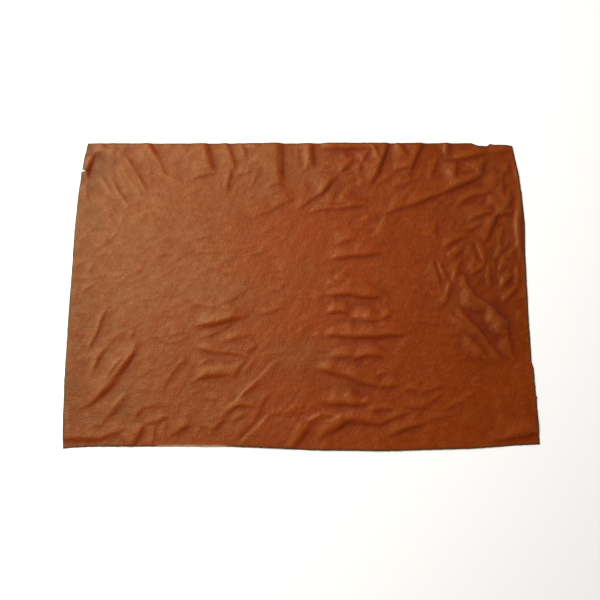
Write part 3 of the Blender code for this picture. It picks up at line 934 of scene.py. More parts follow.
class Wiring:
    """A node tree that is being wired up."""

    def __init__(self, tree: bpy.types.NodeTree) -> None:
        """Keep the tree, and empty it."""
        self.tree = tree
        tree.nodes.clear()

    def add(self, kind: str, **settings: object) -> bpy.types.Node:
        """Add a node.

        Args:
            kind: The node's type.
            settings: Its settings by name.

        Returns:
            The node.
        """
        node = self.tree.nodes.new(kind)
        for name, value in settings.items():
            setattr(node, name, value)
        return node

    def give(self, socket: bpy.types.NodeSocket, value: object) -> None:
        """Link an input from another socket, or let it hold a plain value.

        Args:
            socket: The input.
            value: The other socket, or the value.
        """
        if isinstance(value, bpy.types.NodeSocket):
            self.tree.links.new(value, socket)
        else:
            socket.default_value = value

    def feed(self, node: bpy.types.Node, **inputs: object) -> bpy.types.Node:
        """Give a node some of its inputs.

        Args:
            node: The node.
            inputs: A socket or a value for each, by name, with _ for a space.

        Returns:
            The same node.
        """
        for name, value in inputs.items():
            self.give(node.inputs[name.replace("_", " ")], value)
        return node

    def math(self, operation: str, a: object, b: object = 0.0, clamp: bool = False) -> bpy.types.NodeSocket:
        """Work out one sum.

        Args:
            operation: The sum's name.
            a: A socket or a number.
            b: A socket or a number, where the sum takes two.
            clamp: Whether the result is held between 0 and 1.

        Returns:
            The result.
        """
        node = self.add("ShaderNodeMath", operation=operation, use_clamp=clamp)
        self.give(node.inputs[0], a)
        self.give(node.inputs[1], b)
        return node.outputs["Value"]

    def times(self, a: object, b: object, clamp: bool = False) -> bpy.types.NodeSocket:
        """The product of two sockets or numbers."""
        return self.math("MULTIPLY", a, b, clamp)

    def vector(self, operation: str, a: object, b: object) -> bpy.types.NodeSocket:
        """Work out one sum on vectors.

        Args:
            operation: The sum's name.
            a: A socket or three numbers.
            b: A socket or three numbers.

        Returns:
            The result.
        """
        node = self.add("ShaderNodeVectorMath", operation=operation)
        self.give(node.inputs[0], a)
        self.give(node.inputs[1], b)
        return node.outputs["Vector"]

    def span(self, value: object, span: tuple[float, float], low: float, high: float) -> bpy.types.NodeSocket:
        """Move a value from its place in a span to the same place between two others, eased at both ends.

        Args:
            value: A socket or a number.
            span: Lower and upper end of the span.
            low: The result at the lower end and below it.
            high: The result at the upper end and above it.

        Returns:
            The result.
        """
        node = self.add("ShaderNodeMapRange", clamp=True, interpolation_type="SMOOTHSTEP")
        self.feed(node, Value=value, From_Min=span[0], From_Max=span[1], To_Min=low, To_Max=high)
        return node.outputs["Result"]

    def blend(self, share: object, a: object, b: object, mode: str = "MIX") -> bpy.types.NodeSocket:
        """Mix two colours.

        Args:
            share: Share of the second colour, from 0 to 1.
            a: The first colour.
            b: The second colour.
            mode: How the second is laid on the first.

        Returns:
            The mixed colour.
        """
        node = self.add("ShaderNodeMix", data_type="RGBA", blend_type=mode)
        for index, value in ((0, share), (6, a), (7, b)):
            self.give(node.inputs[index], value)
        return node.outputs[2]

    def noise(self, vector: object, scale: object, detail: float, roughness: float) -> bpy.types.Node:
        """Fractal noise from 0 to 1, with Fac and Color."""
        node = self.add("ShaderNodeTexNoise", noise_dimensions="3D")
        return self.feed(node, Vector=vector, Scale=scale, Detail=detail, Roughness=roughness)

    def mask(self, name: str) -> bpy.types.NodeSocket:
        """One of the masks that are written on the mesh."""
        return self.add("ShaderNodeAttribute", attribute_name=name).outputs["Fac"]

    def bump(self, height: bpy.types.NodeSocket) -> bpy.types.NodeSocket:
        """The normal, bent by a height in metres."""
        node = self.add("ShaderNodeBump")
        return self.feed(node, Height=height, Strength=1.0, Distance=1.0).outputs["Normal"]

    def group(self, tree: bpy.types.NodeTree, **inputs: object) -> bpy.types.Node:
        """A group with these inputs."""
        return self.feed(self.add("ShaderNodeGroup", node_tree=tree), **inputs)


def new_group(
    name: str, numbers: dict[str, float], outputs: tuple[str, ...]
) -> tuple[Wiring, bpy.types.Node, bpy.types.Node]:
    """Start a shader group that takes a vector and some numbers, and puts out numbers.

    Args:
        name: The group's name.
        numbers: Names and usual values of the numbers that it takes.
        outputs: Names of the numbers that it puts out.

    Returns:
        The wiring of its tree, its input node and its output node.
    """
    tree = bpy.data.node_groups.new(name, "ShaderNodeTree")
    tree.interface.new_socket("Vector", in_out="INPUT", socket_type="NodeSocketVector")
    for label, value in numbers.items():
        tree.interface.new_socket(label, in_out="INPUT", socket_type="NodeSocketFloat").default_value = value
    for label in outputs:
        tree.interface.new_socket(label, in_out="OUTPUT", socket_type="NodeSocketFloat")
    wiring = Wiring(tree)
    return wiring, wiring.add("NodeGroupInput"), wiring.add("NodeGroupOutput")


class LeatherEffects:
    """The two effects that the hide's finishes share: uneven dye, and the skin's own relief."""

    def __init__(self) -> None:
        """Build both groups once."""
        self.dye = self.uneven_dye()
        self.relief = self.skin_relief()

    @staticmethod
    def uneven_dye() -> bpy.types.NodeTree:
        """Masks from 0 to 1 of cloudy, patchy and speckled colour.

        Each is noise of its own pitch, whose middle span is eased from 0 to 1. A patch is a fifth as wide as
        a cloud.

        Returns:
            The group.
        """
        numbers = {"Clouds": 8.0, "Specks": 200.0}
        wiring, given, out = new_group("uneven_dye", numbers, ("Cloud", "Patch", "Speck"))
        clouds = given.outputs["Clouds"]
        kinds = (
            ("Cloud", clouds, 3.0, 0.5, (0.33, 0.67)),
            ("Patch", wiring.times(clouds, 5.0), 4.0, 0.6, (0.30, 0.70)),
            ("Speck", given.outputs["Specks"], 3.0, 0.6, (0.30, 0.70)),
        )
        for name, scale, detail, roughness, span in kinds:
            noise = wiring.noise(given.outputs["Vector"], scale, detail, roughness)
            wiring.feed(out, **{name: wiring.span(noise.outputs["Fac"], span, 0.0, 1.0)})
        return wiring.tree

    @staticmethod
    def skin_relief() -> bpy.types.NodeTree:
        """Height in metres of pebbled grain, a net of wrinkles, and hair-line creases.

        The grain is the rounded distance within small cells, and the wrinkles are narrow valleys along the
        borders of larger cells whose places are warped by noise. The hair-lines are narrow valleys where
        drawn-out noise crosses its middle, twice over on two bearings, and come and go with a third noise.
        All are given by their depths in metres, and Valley is the mask of the hair-lines.

        Returns:
            The group.
        """
        numbers = {
            "Grain Scale": 700.0,
            "Grain Depth": 0.00005,
            "Wrinkle Scale": 110.0,
            "Wrinkle Depth": 0.0001,
            "Line Scale": 45.0,
            "Line Depth": 0.0001,
        }
        wiring, given, out = new_group("skin_relief", numbers, ("Height", "Valley"))
        warp_scale, warp_reach = 60.0, 0.009
        lines = ((0.40, 0.20), (-0.15, 0.26))  # bearing, and scale along it, which draws the noise out
        line_half_width, come_and_go_scale = 0.022, 22.0
        place = given.outputs["Vector"]
        warp = wiring.noise(place, warp_scale, 2.0, 0.5).outputs["Color"]
        warp = wiring.vector("SUBTRACT", warp, (0.5,) * 3)
        warp = wiring.vector("MULTIPLY", warp, (warp_reach,) * 3)
        warped = wiring.vector("ADD", place, warp)

        pebbles = wiring.add("ShaderNodeTexVoronoi", feature="SMOOTH_F1")
        wiring.feed(pebbles, Vector=place, Scale=given.outputs["Grain Scale"], Smoothness=0.4)
        pebble = wiring.span(pebbles.outputs["Distance"], (0.05, 0.75), 1.0, 0.0)
        cells = wiring.add("ShaderNodeTexVoronoi", feature="DISTANCE_TO_EDGE")
        wiring.feed(cells, Vector=warped, Scale=given.outputs["Wrinkle Scale"])
        plain = wiring.span(cells.outputs["Distance"], (0.0, 0.16), 0.0, 1.0)
        valley = 0.0
        for bearing, along in lines:
            turn = wiring.add("ShaderNodeMapping", vector_type="POINT")
            wiring.feed(turn, Vector=warped, Rotation=(0.0, 0.0, -bearing), Scale=(along, 1.0, 1.0))
            drawn = wiring.noise(turn.outputs["Vector"], given.outputs["Line Scale"], 1.0, 0.5)
            off_line = wiring.math("ABSOLUTE", wiring.math("SUBTRACT", drawn.outputs["Fac"], 0.5))
            line = wiring.span(off_line, (0.0, line_half_width), 1.0, 0.0)
            valley = wiring.math("MAXIMUM", valley, line)
        come_and_go = wiring.noise(place, come_and_go_scale, 2.0, 0.5).outputs["Fac"]
        valley = wiring.times(valley, wiring.span(come_and_go, (0.45, 0.68), 0.0, 1.0))

        height = wiring.times(pebble, given.outputs["Grain Depth"])
        height = wiring.math("ADD", height, wiring.times(plain, given.outputs["Wrinkle Depth"]))
        height = wiring.math("SUBTRACT", height, wiring.times(valley, given.outputs["Line Depth"]))
        wiring.feed(out, Height=height, Valley=valley)
        return wiring.tree


def new_finish(name: str) -> tuple[bpy.types.Material, Wiring, bpy.types.Node, bpy.types.NodeSocket]:
    """Start a finish with a shader wired to its output.

    Args:
        name: The material's name.

    Returns:
        The material, its wiring, its Principled shader and the Object coordinates.
    """
    material = bpy.data.materials.new(name)
    material.use_nodes = True
    wiring = Wiring(material.node_tree)
    shader = wiring.add("ShaderNodeBsdfPrincipled")
    wiring.feed(wiring.add("ShaderNodeOutputMaterial"), Surface=shader.outputs["BSDF"])
    place = wiring.add("ShaderNodeTexCoord").outputs["Object"]
    return material, wiring, shader, place


class Relief(NamedTuple):
    """One kind of fine relief: how many of it come on a metre, about, and its depth in metres."""

    scale: float
    depth: float


@dataclass(frozen=True)
class GrainSideFinish:
    """Tan aniline dye: cloudy, with redder patches, gold-toned ones partly painted sheen and dark ones partly
    painted shade.

    Painted shade darkens creases and hair-lines; ridges are lighter, partly rubbed wear and partly painted
    highlight;
    the dark rim is partly painted shadow along the cut edge.
    """

    deep: Colour = (0.170, 0.0210, 0.0006, 1.0)
    light: Colour = (0.200, 0.0290, 0.0010, 1.0)
    red: Colour = (0.228, 0.0265, 0.0012, 1.0)
    # painted shade: the darker colour laid into creases and hair-line valleys
    crease_shade: Colour = (0.135, 0.0070, 0.0001, 1.0)
    # dark colour: partly dye, partly painted shade
    dusky_and_shaded: Colour = (0.118, 0.0150, 0.0008, 1.0)
    # lighter colour on ridges: partly rubbed wear, partly painted highlight
    worn_and_highlit: Colour = (0.280, 0.0600, 0.0100, 1.0)
    # gold-toned colour: partly dye, partly painted sheen
    golden_and_sheen: Colour = (0.205, 0.0420, 0.0080, 1.0)
    # dark rim colour: partly the cut edge's own colour, partly painted shadow along the edge
    rim: Colour = (0.052, 0.028, 0.0110, 1.0)
    pale_rim: Colour = (0.480, 0.330, 0.2000, 1.0)
    roughness: float = 0.465
    specular: float = 0.275
    specular_tint: Colour = (0.92, 0.93, 0.46, 1.0)
    clouds: float = 9.0
    specks: float = 230.0
    least_light: float = 0.05
    cloud_share: float = 0.55
    patch_share: float = 0.34
    grain: Relief = Relief(650.0, 0.00005)
    wrinkles: Relief = Relief(95.0, 0.00014)
    hair_lines: Relief = Relief(30.0, 0.00016)
    # shares of painted shade in hair-line valleys and in creases
    hair_line_shade_share: float = 0.40
    valley_shade_share: float = 0.43
    ridge_share: float = 0.30
    speck_swing: float = 0.05
    least_rim: float = 0.55
    patch_dulling: float = 0.05
    crease_dulling: float = 0.07

    def material(self, effects: LeatherEffects) -> bpy.types.Material:
        """Wire the finish.

        Args:
            effects: The shared groups.

        Returns:
            The material.
        """
        material, wiring, shader, place = new_finish("grain_side_leather")
        dye = wiring.group(effects.dye, Vector=place, Clouds=self.clouds, Specks=self.specks).outputs
        relief = wiring.group(
            effects.relief,
            Vector=place,
            Grain_Scale=self.grain.scale,
            Grain_Depth=self.grain.depth,
            Wrinkle_Scale=self.wrinkles.scale,
            Wrinkle_Depth=self.wrinkles.depth,
            Line_Scale=self.hair_lines.scale,
            Line_Depth=self.hair_lines.depth,
        ).outputs
        crease = wiring.mask("crease")

        cloudy = wiring.math("ADD", wiring.times(dye["Cloud"], self.cloud_share), self.least_light)
        cloudy = wiring.math("ADD", cloudy, wiring.times(dye["Patch"], self.patch_share))
        colour = wiring.blend(cloudy, self.deep, self.light)
        # redder dye patches; gold-toned patches, partly painted sheen; dark patches, partly painted shade
        for name, dyed in (("blush", self.red), ("gilt_and_sheen", self.golden_and_sheen), ("dusk_and_shade", self.dusky_and_shaded)):
            colour = wiring.blend(wiring.mask(name), colour, dyed)
        # painted shade: creases and hair-line valleys take the darker colour
        valley_shade = wiring.times(crease, self.valley_shade_share, clamp=True)
        valley_shade = wiring.math("MAXIMUM", valley_shade, wiring.times(relief["Valley"], self.hair_line_shade_share))
        colour = wiring.blend(valley_shade, colour, self.crease_shade)
        # ridges lighter: partly rubbed wear, partly painted highlight
        colour = wiring.blend(wiring.times(crease, -self.ridge_share, clamp=True), colour, self.worn_and_highlit)
        grainy = wiring.span(dye["Speck"], (0.0, 1.0), 1.0 - self.speck_swing, 1.0 + self.speck_swing)
        shade = wiring.add("ShaderNodeCombineColor")
        wiring.feed(shade, Red=grainy, Green=grainy, Blue=grainy)
        colour = wiring.blend(1.0, colour, shade.outputs["Color"], mode="MULTIPLY")
        ragged = wiring.span(dye["Patch"], (0.0, 1.0), self.least_rim, 1.0)
        # the dark rim: partly the cut edge's colour, partly painted shadow along the edge
        for name, edging in (("rim", self.rim), ("pale_rim", self.pale_rim)):
            colour = wiring.blend(wiring.times(wiring.mask(name), ragged), colour, edging)

        smoothest, dullest = self.roughness - self.patch_dulling, self.roughness + self.patch_dulling
        rough = wiring.span(dye["Patch"], (0.0, 1.0), smoothest, dullest)
        rough = wiring.math("ADD", rough, wiring.times(crease, self.crease_dulling))
        wiring.feed(shader, Base_Color=colour, Roughness=rough, Normal=wiring.bump(relief["Height"]))
        wiring.feed(shader, Specular_IOR_Level=self.specular, Specular_Tint=self.specular_tint)
        return material


@dataclass(frozen=True)
class FibreFinish:
    """Bare fibre: pale, and darker by half the sum of a broad mask and the specks, with a short nap."""

    name: str
    pale: Colour
    dark: Colour
    broad_mask: str
    clouds: float
    specks: float
    nap: Relief
    roughness: float

    def material(self, effects: LeatherEffects) -> bpy.types.Material:
        """Wire the finish.

        Args:
            effects: The shared groups.

        Returns:
            The material.
        """
        material, wiring, shader, place = new_finish(self.name)
        dye = wiring.group(effects.dye, Vector=place, Clouds=self.clouds, Specks=self.specks).outputs
        share = wiring.times(wiring.math("ADD", dye[self.broad_mask], dye["Speck"]), 0.5)
        relief = wiring.group(effects.relief, Vector=place)
        wiring.feed(relief, Grain_Scale=self.nap.scale, Grain_Depth=self.nap.depth)
        wiring.feed(shader, Base_Color=wiring.blend(share, self.pale, self.dark), Roughness=self.roughness)
        wiring.feed(shader, Normal=wiring.bump(relief.outputs["Height"]))
        return material


RAW_CUT_EDGE = FibreFinish(
    name="raw_cut_edge",
    pale=(0.230, 0.130, 0.0700, 1.0),
    dark=(0.070, 0.032, 0.0150, 1.0),
    broad_mask="Cloud",
    clouds=30.0,
    specks=900.0,
    nap=Relief(1600.0, 0.00008),
    roughness=0.85,
)

FLESH_SIDE_SUEDE = FibreFinish(
    name="flesh_side_suede",
    pale=(0.340, 0.190, 0.1000, 1.0),
    dark=(0.240, 0.120, 0.0580, 1.0),
    broad_mask="Patch",
    clouds=14.0,
    specks=700.0,
    nap=Relief(1100.0, 0.00012),
    roughness=0.92,
)


class Patch(NamedTuple):
    """A soft patch of another colour, in millimetres, with its strength. Redder patches are dye, gold-toned
    ones partly painted sheen, dark ones partly painted shade.
    """

    x: float
    y: float
    reach_x: float
    reach_y: float
    strength: float


BLUSHES = (
    Patch(-420, 292, 60, 40, 0.45),
    Patch(20, 0, 330, 320, 0.60),
    Patch(30, 100, 120, 90, 0.60),
    Patch(-60, 20, 90, 60, 0.40),
    Patch(60, -40, 120, 60, 0.35),
    Patch(-330, 290, 60, 40, 0.45),
    Patch(-440, 240, 30, 60, 0.45),
    Patch(-420, -260, 60, 60, 0.45),
    Patch(60, 318, 70, 14, 0.55),
    Patch(390, -20, 60, 60, 0.40),
    Patch(-20, -250, 90, 50, 0.35),
)

# gold-toned patches: partly dye, partly painted sheen, strongest on the left
GILTS_AND_SHEEN = (
    Patch(-70, 280, 60, 50, 0.70),
    Patch(-140, 300, 50, 40, 0.40),
    Patch(40, 255, 50, 40, 0.60),
    Patch(-100, 215, 60, 30, 0.45),
    Patch(-190, 10, 60, 50, 0.65),
    Patch(-330, 130, 120, 110, 0.40),
    Patch(-300, 0, 90, 50, 0.45),
    Patch(-370, -30, 70, 40, 0.40),
    Patch(-340, -235, 40, 30, 0.45),
    Patch(-150, -165, 50, 20, 0.50),
    Patch(-190, -250, 70, 40, 0.35),
    Patch(-60, -10, 60, 40, 0.35),
    Patch(200, 215, 40, 30, 0.25),
    Patch(-460, 200, 70, 160, 0.35),
    Patch(467, 190, 10, 80, 0.85),
    Patch(469, 40, 9, 90, 0.85),
    Patch(466, -110, 7, 90, 0.85),
    Patch(-270, 300, 40, 20, 0.70),
    Patch(10, 300, 50, 26, 0.40),
    Patch(70, -120, 40, 30, 0.30),
    Patch(-215, 268, 40, 24, 0.50),
    Patch(10, 40, 50, 40, 0.40),
    Patch(-130, -20, 50, 30, 0.50),
    Patch(0, -140, 60, 40, 0.60),
    Patch(410, 262, 40, 50, 0.55),
    Patch(424, 50, 26, 75, 0.50),
    Patch(335, -25, 36, 40, 0.40),
    Patch(370, 165, 32, 36, 0.40),
    Patch(440, 150, 24, 60, 0.40),
)

# dark patches: partly dye, partly painted shade in fold valleys, along the edges and at the lower left
DUSKS_AND_SHADE = (
    Patch(-460, -260, 100, 110, 0.56),
    Patch(-340, -235, 45, 50, 0.30),
    Patch(350, -80, 50, 45, 0.40),
    Patch(-400, -60, 60, 60, 0.18),
    Patch(-475, 60, 70, 300, 0.44),
    Patch(-425, 298, 85, 40, 0.55),
    Patch(-460, 215, 40, 60, 0.25),
    Patch(-445, 255, 30, 30, 0.45),
    Patch(375, 20, 60, 120, 0.42),
    Patch(400, -105, 60, 50, 0.24),
    Patch(402, 262, 44, 40, 0.45),
    Patch(424, 60, 30, 80, 0.30),
    Patch(320, 175, 50, 40, 0.25),
    Patch(80, 190, 60, 40, 0.20),
    Patch(122, -26, 24, 16, 0.34),
    Patch(62, -14, 16, 14, 0.24),
    Patch(168, -18, 16, 14, 0.26),
    Patch(96, -204, 26, 16, 0.26),
    Patch(318, 288, 16, 20, 0.28),
    Patch(392, -42, 22, 26, 0.28),
    Patch(300, 322, 130, 12, 0.35),
    Patch(440, -60, 30, 80, 0.25),
)

# masks of redder dye, of gold-toned dye with painted sheen, and of dark dye with painted shade
DYE_SHEEN_AND_SHADE_PATCHES = {"blush": BLUSHES, "gilt_and_sheen": GILTS_AND_SHEEN, "dusk_and_shade": DUSKS_AND_SHADE}


@dataclass
class Hide:
    """The one cut piece of hide, as a closed sheet on its folds."""

    outline: CutOutline
    lie: Lie
    thickness: float = 0.0012
    cells_along: int = 326
    cells_below_snip: int = 200
    cells_in_snip: int = 4
    cells_above_snip: int = 20
    rim_cells: tuple[float, float] = (0.0006, 0.0014)
    roll_width: float = 0.0022
    roll_drop: float = 0.00045
    # the dark rim mask: partly the cut edge's colour, partly painted shadow along the edge
    rim_width: float = 0.0036
    rim_solid: float = 0.4  # how much of the rim's width has its full colour, before it fades
    pale_run: tuple[float, float] = (-0.285, -0.130)  # where the pale rim starts and ends, in x
    pale_fade: float = 0.02
    # the crease mask paints shade into valleys and lightens ridges; it grows deeper to the right, so the
    # painted shade is darker there
    crease_passes: int = 10
    crease_height: float = 0.00045
    deepest_crease: float = 1.6
    deeper_on_right: float = 0.6
    deeper_from: float = -0.05
    deeper_over: float = 0.35
    patch_pitch: float = 0.026
    patch_swell: float = 0.7
    sharp_from: float = 50.0  # degrees

    def shares_along(self) -> np.ndarray:
        """Shares of the width at the columns: narrow cells at both rims, and even ones between.

        Returns:
            The shares, from 0 at the left edge to 1 at the right.
        """
        rims = np.cumsum((0.0,) + self.rim_cells) / self.outline.width
        between = np.linspace(rims[-1], 1.0 - rims[-1], self.cells_along + 1)
        return np.concatenate([rims[:-1], between, 1.0 - rims[-2::-1]])

    def shares_across(self) -> np.ndarray:
        """Shares of the depth at the rows: narrow cells at both rims and in the snip, even ones between.

        Returns:
            The shares, from 0 at the bottom edge to 1 at the top.
        """
        depth = self.outline.depth
        tip = self.outline.tip_share
        half_mouth = self.outline.snip.mouth * MM / 2 / depth
        rims = np.cumsum((0.0,) + self.rim_cells) / depth
        below = np.linspace(rims[-1], tip - half_mouth, self.cells_below_snip + 1)
        mouth = np.linspace(tip - half_mouth, tip + half_mouth, self.cells_in_snip + 1)
        above = np.linspace(tip + half_mouth, 1.0 - rims[-1], self.cells_above_snip + 1)
        return np.concatenate([rims[:-1], below, mouth[1:-1], above, 1.0 - rims[-2::-1]])

    def surfaces(self, s: np.ndarray, t: np.ndarray) -> tuple[np.ndarray, np.ndarray]:
        """Points of the grain side and of the underside on one grid.

        The underside is the lie of the hide. The grain side lies one thickness and the crinkle over it, and
        rolls down over the last millimetres to the cut edge, by the square of the share still to go.

        Args:
            s: Shares along, as a grid.
            t: Shares across, as a grid.

        Returns:
            Grain side and underside, rows by columns by three.
        """
        x, y = self.outline.plan(s, t)
        under = self.lie.underside(x, y)
        to_go = np.clip(1.0 - self.outline.inset(s, t) / self.roll_width, 0.0, 1.0)
        over = under + self.thickness + self.lie.crinkle(x, y) - self.roll_drop * to_go * to_go
        return np.stack([x, y, over], axis=-1), np.stack([x, y, under], axis=-1)

    @staticmethod
    def ring(numbers: np.ndarray) -> np.ndarray:
        """Point numbers once round a grid of them, counter-clockwise from its lower left corner."""
        return np.concatenate([numbers[0, :-1], numbers[:-1, -1], numbers[-1, :0:-1], numbers[:0:-1, 0]])

    @staticmethod
    def grain_faces(numbers: np.ndarray) -> np.ndarray:
        """Two triangles for each cell of the grain side, split along alternate diagonals.

        Args:
            numbers: Point numbers of its grid.

        Returns:
            The triangles, which face up.
        """
        a, b = numbers[:-1, :-1], numbers[:-1, 1:]
        d, c = numbers[1:, :-1], numbers[1:, 1:]
        rising = (np.indices(a.shape).sum(axis=0) % 2 == 0)[..., None]
        first = np.where(rising, np.stack([a, b, c], -1), np.stack([a, b, d], -1))
        second = np.where(rising, np.stack([a, c, d], -1), np.stack([b, c, d], -1))
        return np.concatenate([first.reshape(-1, 3), second.reshape(-1, 3)])

    @staticmethod
    def edge_faces(above: np.ndarray, below: np.ndarray) -> np.ndarray:
        """Two triangles for each step round the cut edge.

        Args:
            above: Point numbers of its upper ring.
            below: Point numbers of its lower ring.

        Returns:
            The triangles, which face out.
        """
        next_above, next_below = np.roll(above, -1), np.roll(below, -1)
        lower = np.stack([below, next_below, next_above], -1)
        upper = np.stack([below, next_above, above], -1)
        return np.concatenate([lower, upper])

    @staticmethod
    def flesh_faces(fine: np.ndarray, coarse: np.ndarray) -> np.ndarray:
        """Triangles of the underside, which face down.

        Every second row and column of the coarse numbers makes the inner grid. Along each side of it, every
        inner segment takes three triangles with the two rim segments that face it. At each corner, the inner
        corner fans out to the four rim segments round the outer corner.

        Args:
            fine: Point numbers of the underside as it lies, of which the rim is used.
            coarse: Point numbers of the lowered underside, of which the inside is used.

        Returns:
            The triangles.
        """
        inside = coarse[2:-2:2, 2:-2:2]
        a, b = inside[:-1, :-1].ravel(), inside[:-1, 1:].ravel()
        d, c = inside[1:, :-1].ravel(), inside[1:, 1:].ravel()
        faces = [np.stack([a, c, b], -1), np.stack([a, d, c], -1)]
        for quarter in range(4):
            outer = np.rot90(fine, quarter)[0]
            inner = np.rot90(coarse, quarter)[2]
            near, far = inner[2:-4:2], inner[4:-2:2]
            start, middle, end = outer[2:-4:2], outer[3:-3:2], outer[4:-2:2]
            faces.append(np.stack([near, middle, start], -1))
            faces.append(np.stack([near, far, middle], -1))
            faces.append(np.stack([far, end, middle], -1))
            faces.append(np.stack([np.full(2, inner[2]), outer[1:3], outer[0:2]], -1))
            faces.append(np.stack([np.full(2, inner[-3]), outer[-2:], outer[-3:-1]], -1))
        return np.concatenate(faces)

    def mesh(self) -> bpy.types.Mesh:
        """Build the closed mesh.

        The grain side has every grid point. The underside has the same rim, so that the cut edge is a plain
        band, and inside it every second row and column, each at the lowest height around it, so that it
        never shows through. A ring of triangles joins that coarser grid to the rim.

        Returns:
            The mesh, with its attributes and its faces sorted by material slot.
        """
        s, t = np.meshgrid(self.shares_along(), self.shares_across())
        rows, columns = s.shape
        over, under = self.surfaces(s, t)
        lowered = under.copy()
        padded = np.pad(under[..., 2], 1, mode="edge")
        for row, column in np.ndindex(3, 3):
            around = padded[row : row + rows, column : column + columns]
            lowered[..., 2] = np.minimum(lowered[..., 2], around)
        points = np.concatenate([over, under, lowered]).reshape(-1, 3)

        upper, fine, coarse = np.arange(len(points)).reshape(3, rows, columns)
        sides = {
            Face.GRAIN_SIDE: self.grain_faces(upper),
            Face.CUT_EDGE: self.edge_faces(self.ring(upper), self.ring(fine)),
            Face.FLESH_SIDE: self.flesh_faces(fine, coarse),
        }
        faces = np.concatenate([sides[face] for face in Face])
        slots = np.repeat(list(Face), [len(sides[face]) for face in Face])
        used = np.unique(faces)
        mesh = bpy.data.meshes.new("hide_sheet")
        mesh.from_pydata(points[used].tolist(), [], np.searchsorted(used, faces).tolist())
        mesh.polygons.foreach_set("material_index", slots.astype(np.int32))
        mesh.shade_smooth()
        mesh.update()
        self.write_masks(mesh, s, t, over, used)
        return mesh

    def patchy(self, patches: tuple[Patch, ...], x: np.ndarray, y: np.ndarray, seed: int) -> np.ndarray:
        """Add up the bell curves of all the patches, swollen by noise.

        Args:
            patches: The patches' rows.
            x: Plan positions in metres.
            y: Plan positions in metres.
            seed: Seed of the noise.

        Returns:
            A mask from 0 to 1.
        """
        mask = np.zeros_like(x)
        for patch in patches:
            from_x, from_y = x / MM - patch.x, y / MM - patch.y
            mask += patch.strength * bell(from_x / patch.reach_x, from_y / patch.reach_y)
        swollen = mask * (1.0 + self.patch_swell * slope_noise(x, y, self.patch_pitch, seed))
        return np.clip(swollen, 0.0, 1.0)

    def write_masks(
        self, mesh: bpy.types.Mesh, s: np.ndarray, t: np.ndarray, over: np.ndarray, used: np.ndarray
    ) -> None:
        """Write the masks that the finish reads: crease, rim, pale rim, and one for each kind of colour
        patch.

        The crease mask is the height of the softened grain side over the grain side itself, so it is above 0
        in valleys and below 0 on ridges; with it the finish paints shade into valleys and lightens ridges. It
        is deeper on the right, so the painted shade is darker there. The rim masks fade from the cut edge in:
        the dark one is partly the cut edge's colour and partly painted shadow along the edge, and the pale
        one runs along part of the bottom edge only.

        Args:
            mesh: The mesh to write to.
            s: Shares along, as a grid.
            t: Shares across, as a grid.
            over: Points of the grain side.
            used: Numbers of the points that the mesh kept.
        """
        x, y, z = over[..., 0], over[..., 1], over[..., 2]
        # painted shade: the crease mask darkens valleys, more so towards the right
        deeper = 1.0 + self.deeper_on_right * ease((x - self.deeper_from) / self.deeper_over)
        crease = (soften(z, self.crease_passes) - z) * deeper / self.crease_height
        rim = ease(1.0 + self.rim_solid - self.outline.inset(s, t) / self.rim_width)
        start, end = self.pale_run
        run = ease((x - start) / self.pale_fade) * ease((end - x) / self.pale_fade)
        pale = run * np.clip(1.0 - t * self.outline.depth / self.rim_width, 0.0, 1.0)
        masks = {
            "crease": np.clip(crease, -1.0, self.deepest_crease),
            "rim": rim * (1.0 - pale),
            "pale_rim": pale,
        }
        for seed, (name, patches) in enumerate(DYE_SHEEN_AND_SHADE_PATCHES.items(), Seed.DYE):
            masks[name] = self.patchy(patches, x, y, seed)
        for name, values in masks.items():
            attribute = mesh.attributes.new(name, "FLOAT", "POINT")
            spread = np.tile(values.ravel(), 3)[used]
            attribute.data.foreach_set("value", spread.astype(np.float32))

    @staticmethod
    def dress(mesh: bpy.types.Mesh) -> None:
        """Give each face of the hide its finish, in the order of Face.

        Args:
            mesh: The hide's mesh.
        """
        effects = LeatherEffects()
        finishes = {
            Face.GRAIN_SIDE: GrainSideFinish(),
            Face.CUT_EDGE: RAW_CUT_EDGE,
            Face.FLESH_SIDE: FLESH_SIDE_SUEDE,
        }
        for face in Face:
            mesh.materials.append(finishes[face].material(effects))

    def build(self) -> bpy.types.Object:
        """Make the sheet, dress it and tie it to the solid.

        Returns:
            The finished piece.
        """
        mesh = self.mesh()
        hide = bpy.data.objects.new("hide_sheet", mesh)
        bpy.context.scene.collection.objects.link(hide)
        self.dress(mesh)
        mesh.set_sharp_from_angle(angle=math.radians(self.sharp_from))
        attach(hide, BODY)
        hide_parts(NODE)
        return hide


class Lamp(NamedTuple):
    """An area light, in metres and watts."""

    name: str
    x: float
    y: float
    z: float
    size: float
    power: float
    colour: tuple[float, float, float]


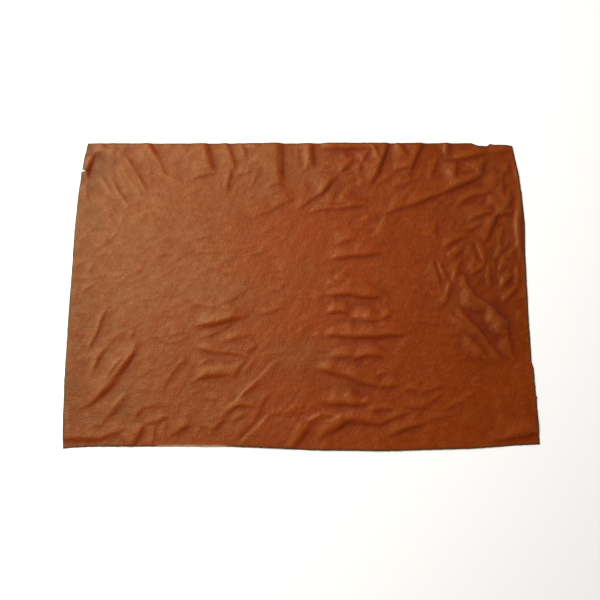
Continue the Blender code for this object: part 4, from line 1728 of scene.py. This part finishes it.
@dataclass
class Studio:
    """A plain pale floor, a window-like soft light from the left, and the camera looking down."""

    floor_radius: float = 1.65
    floor_corners: int = 128
    floor_gap: float = 0.0002
    floor_colour: Colour = (0.97, 0.97, 0.96, 1.0)
    floor_roughness: float = 0.9
    floor_specular: float = 0.2
    horizon_colour: Colour = (0.80, 0.78, 0.76, 1.0)
    overhead_colour: Colour = (0.018, 0.015, 0.012, 1.0)
    glow_top: tuple[float, float] = (0.20, 0.38)  # where the horizon's glow starts to fade, and where it ends
    window: Lamp = Lamp("window", -1.73, 1.12, 2.45, 2.9, 198.0, (1.0, 0.985, 0.96))
    focal_length: float = 36.0
    sensor_width: float = 36.0
    camera_place: tuple[float, float, float] = (0.0, -0.2937, 1.1944)
    camera_target: tuple[float, float, float] = (0.0, -0.0245, 0.0)

    def build(self) -> bpy.types.Object:
        """Build the floor, the light and the camera.

        Returns:
            The floor.
        """
        floor = self.floor()
        self.light(self.window)
        self.sky()
        self.camera()
        bpy.context.scene.view_settings.view_transform = "Standard"
        return floor

    def floor(self) -> bpy.types.Object:
        """Lay the plain round floor just under the hide.

        Returns:
            The floor.
        """
        turns = np.linspace(0.0, 2.0 * math.pi, self.floor_corners, endpoint=False)
        level = np.full_like(turns, -self.floor_gap)
        corners = np.stack([self.floor_radius * np.cos(turns), self.floor_radius * np.sin(turns), level], -1)
        mesh = bpy.data.meshes.new("floor")
        mesh.from_pydata(corners.tolist(), [], [tuple(range(self.floor_corners))])
        floor = bpy.data.objects.new("floor", mesh)
        bpy.context.scene.collection.objects.link(floor)
        material, wiring, shader, _ = new_finish("pale_floor")
        wiring.feed(shader, Base_Color=self.floor_colour, Roughness=self.floor_roughness)
        wiring.feed(shader, Specular_IOR_Level=self.floor_specular)
        mesh.materials.append(material)
        return floor

    @staticmethod
    def light(lamp: Lamp) -> None:
        """Hang one square area light and turn it to the middle of the hide.

        Args:
            lamp: The light.
        """
        data = bpy.data.lights.new(lamp.name, "AREA")
        data.shape = "SQUARE"
        data.size = lamp.size
        data.energy = lamp.power
        data.color = lamp.colour
        light = bpy.data.objects.new(lamp.name, data)
        light.location = (lamp.x, lamp.y, lamp.z)
        light.rotation_euler = (-Vector(light.location)).to_track_quat("-Z", "Y").to_euler()
        bpy.context.scene.collection.objects.link(light)

    def sky(self) -> None:
        """Light everything a little from all round, with a pale horizon that fades to a dim room overhead."""
        world = bpy.data.worlds.new("soft_room")
        world.use_nodes = True
        wiring = Wiring(world.node_tree)
        parts = wiring.add("ShaderNodeSeparateXYZ")
        wiring.feed(parts, Vector=wiring.add("ShaderNodeTexCoord").outputs["Generated"])
        overhead = wiring.span(wiring.math("ABSOLUTE", parts.outputs["Z"]), self.glow_top, 0.0, 1.0)
        background = wiring.add("ShaderNodeBackground")
        wiring.feed(background, Color=wiring.blend(overhead, self.horizon_colour, self.overhead_colour))
        wiring.feed(wiring.add("ShaderNodeOutputWorld"), Surface=background.outputs["Background"])
        bpy.context.scene.world = world

    def camera(self) -> None:
        """Stand the camera over the near side of the hide, tilted a little from straight down."""
        data = bpy.data.cameras.new("camera")
        data.lens = self.focal_length
        data.sensor_width = self.sensor_width
        camera = bpy.data.objects.new("camera", data)
        camera.location = self.camera_place
        gaze = Vector(self.camera_target) - Vector(self.camera_place)
        camera.rotation_euler = gaze.to_track_quat("-Z", "Y").to_euler()
        bpy.context.scene.collection.objects.link(camera)
        bpy.context.scene.camera = camera


def main() -> None:
    """Load the solid, set the studio, make the hide, and report both."""
    logging.basicConfig(level=logging.INFO, format="%(message)s")
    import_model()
    floor = Studio().build()
    log.info("%s laid", floor.name)
    hide = Hide(outline=CutOutline(), lie=Lie()).build()
    log.info("%s has %d triangles", hide.name, len(hide.data.polygons))


if __name__ == "__main__":
    main()
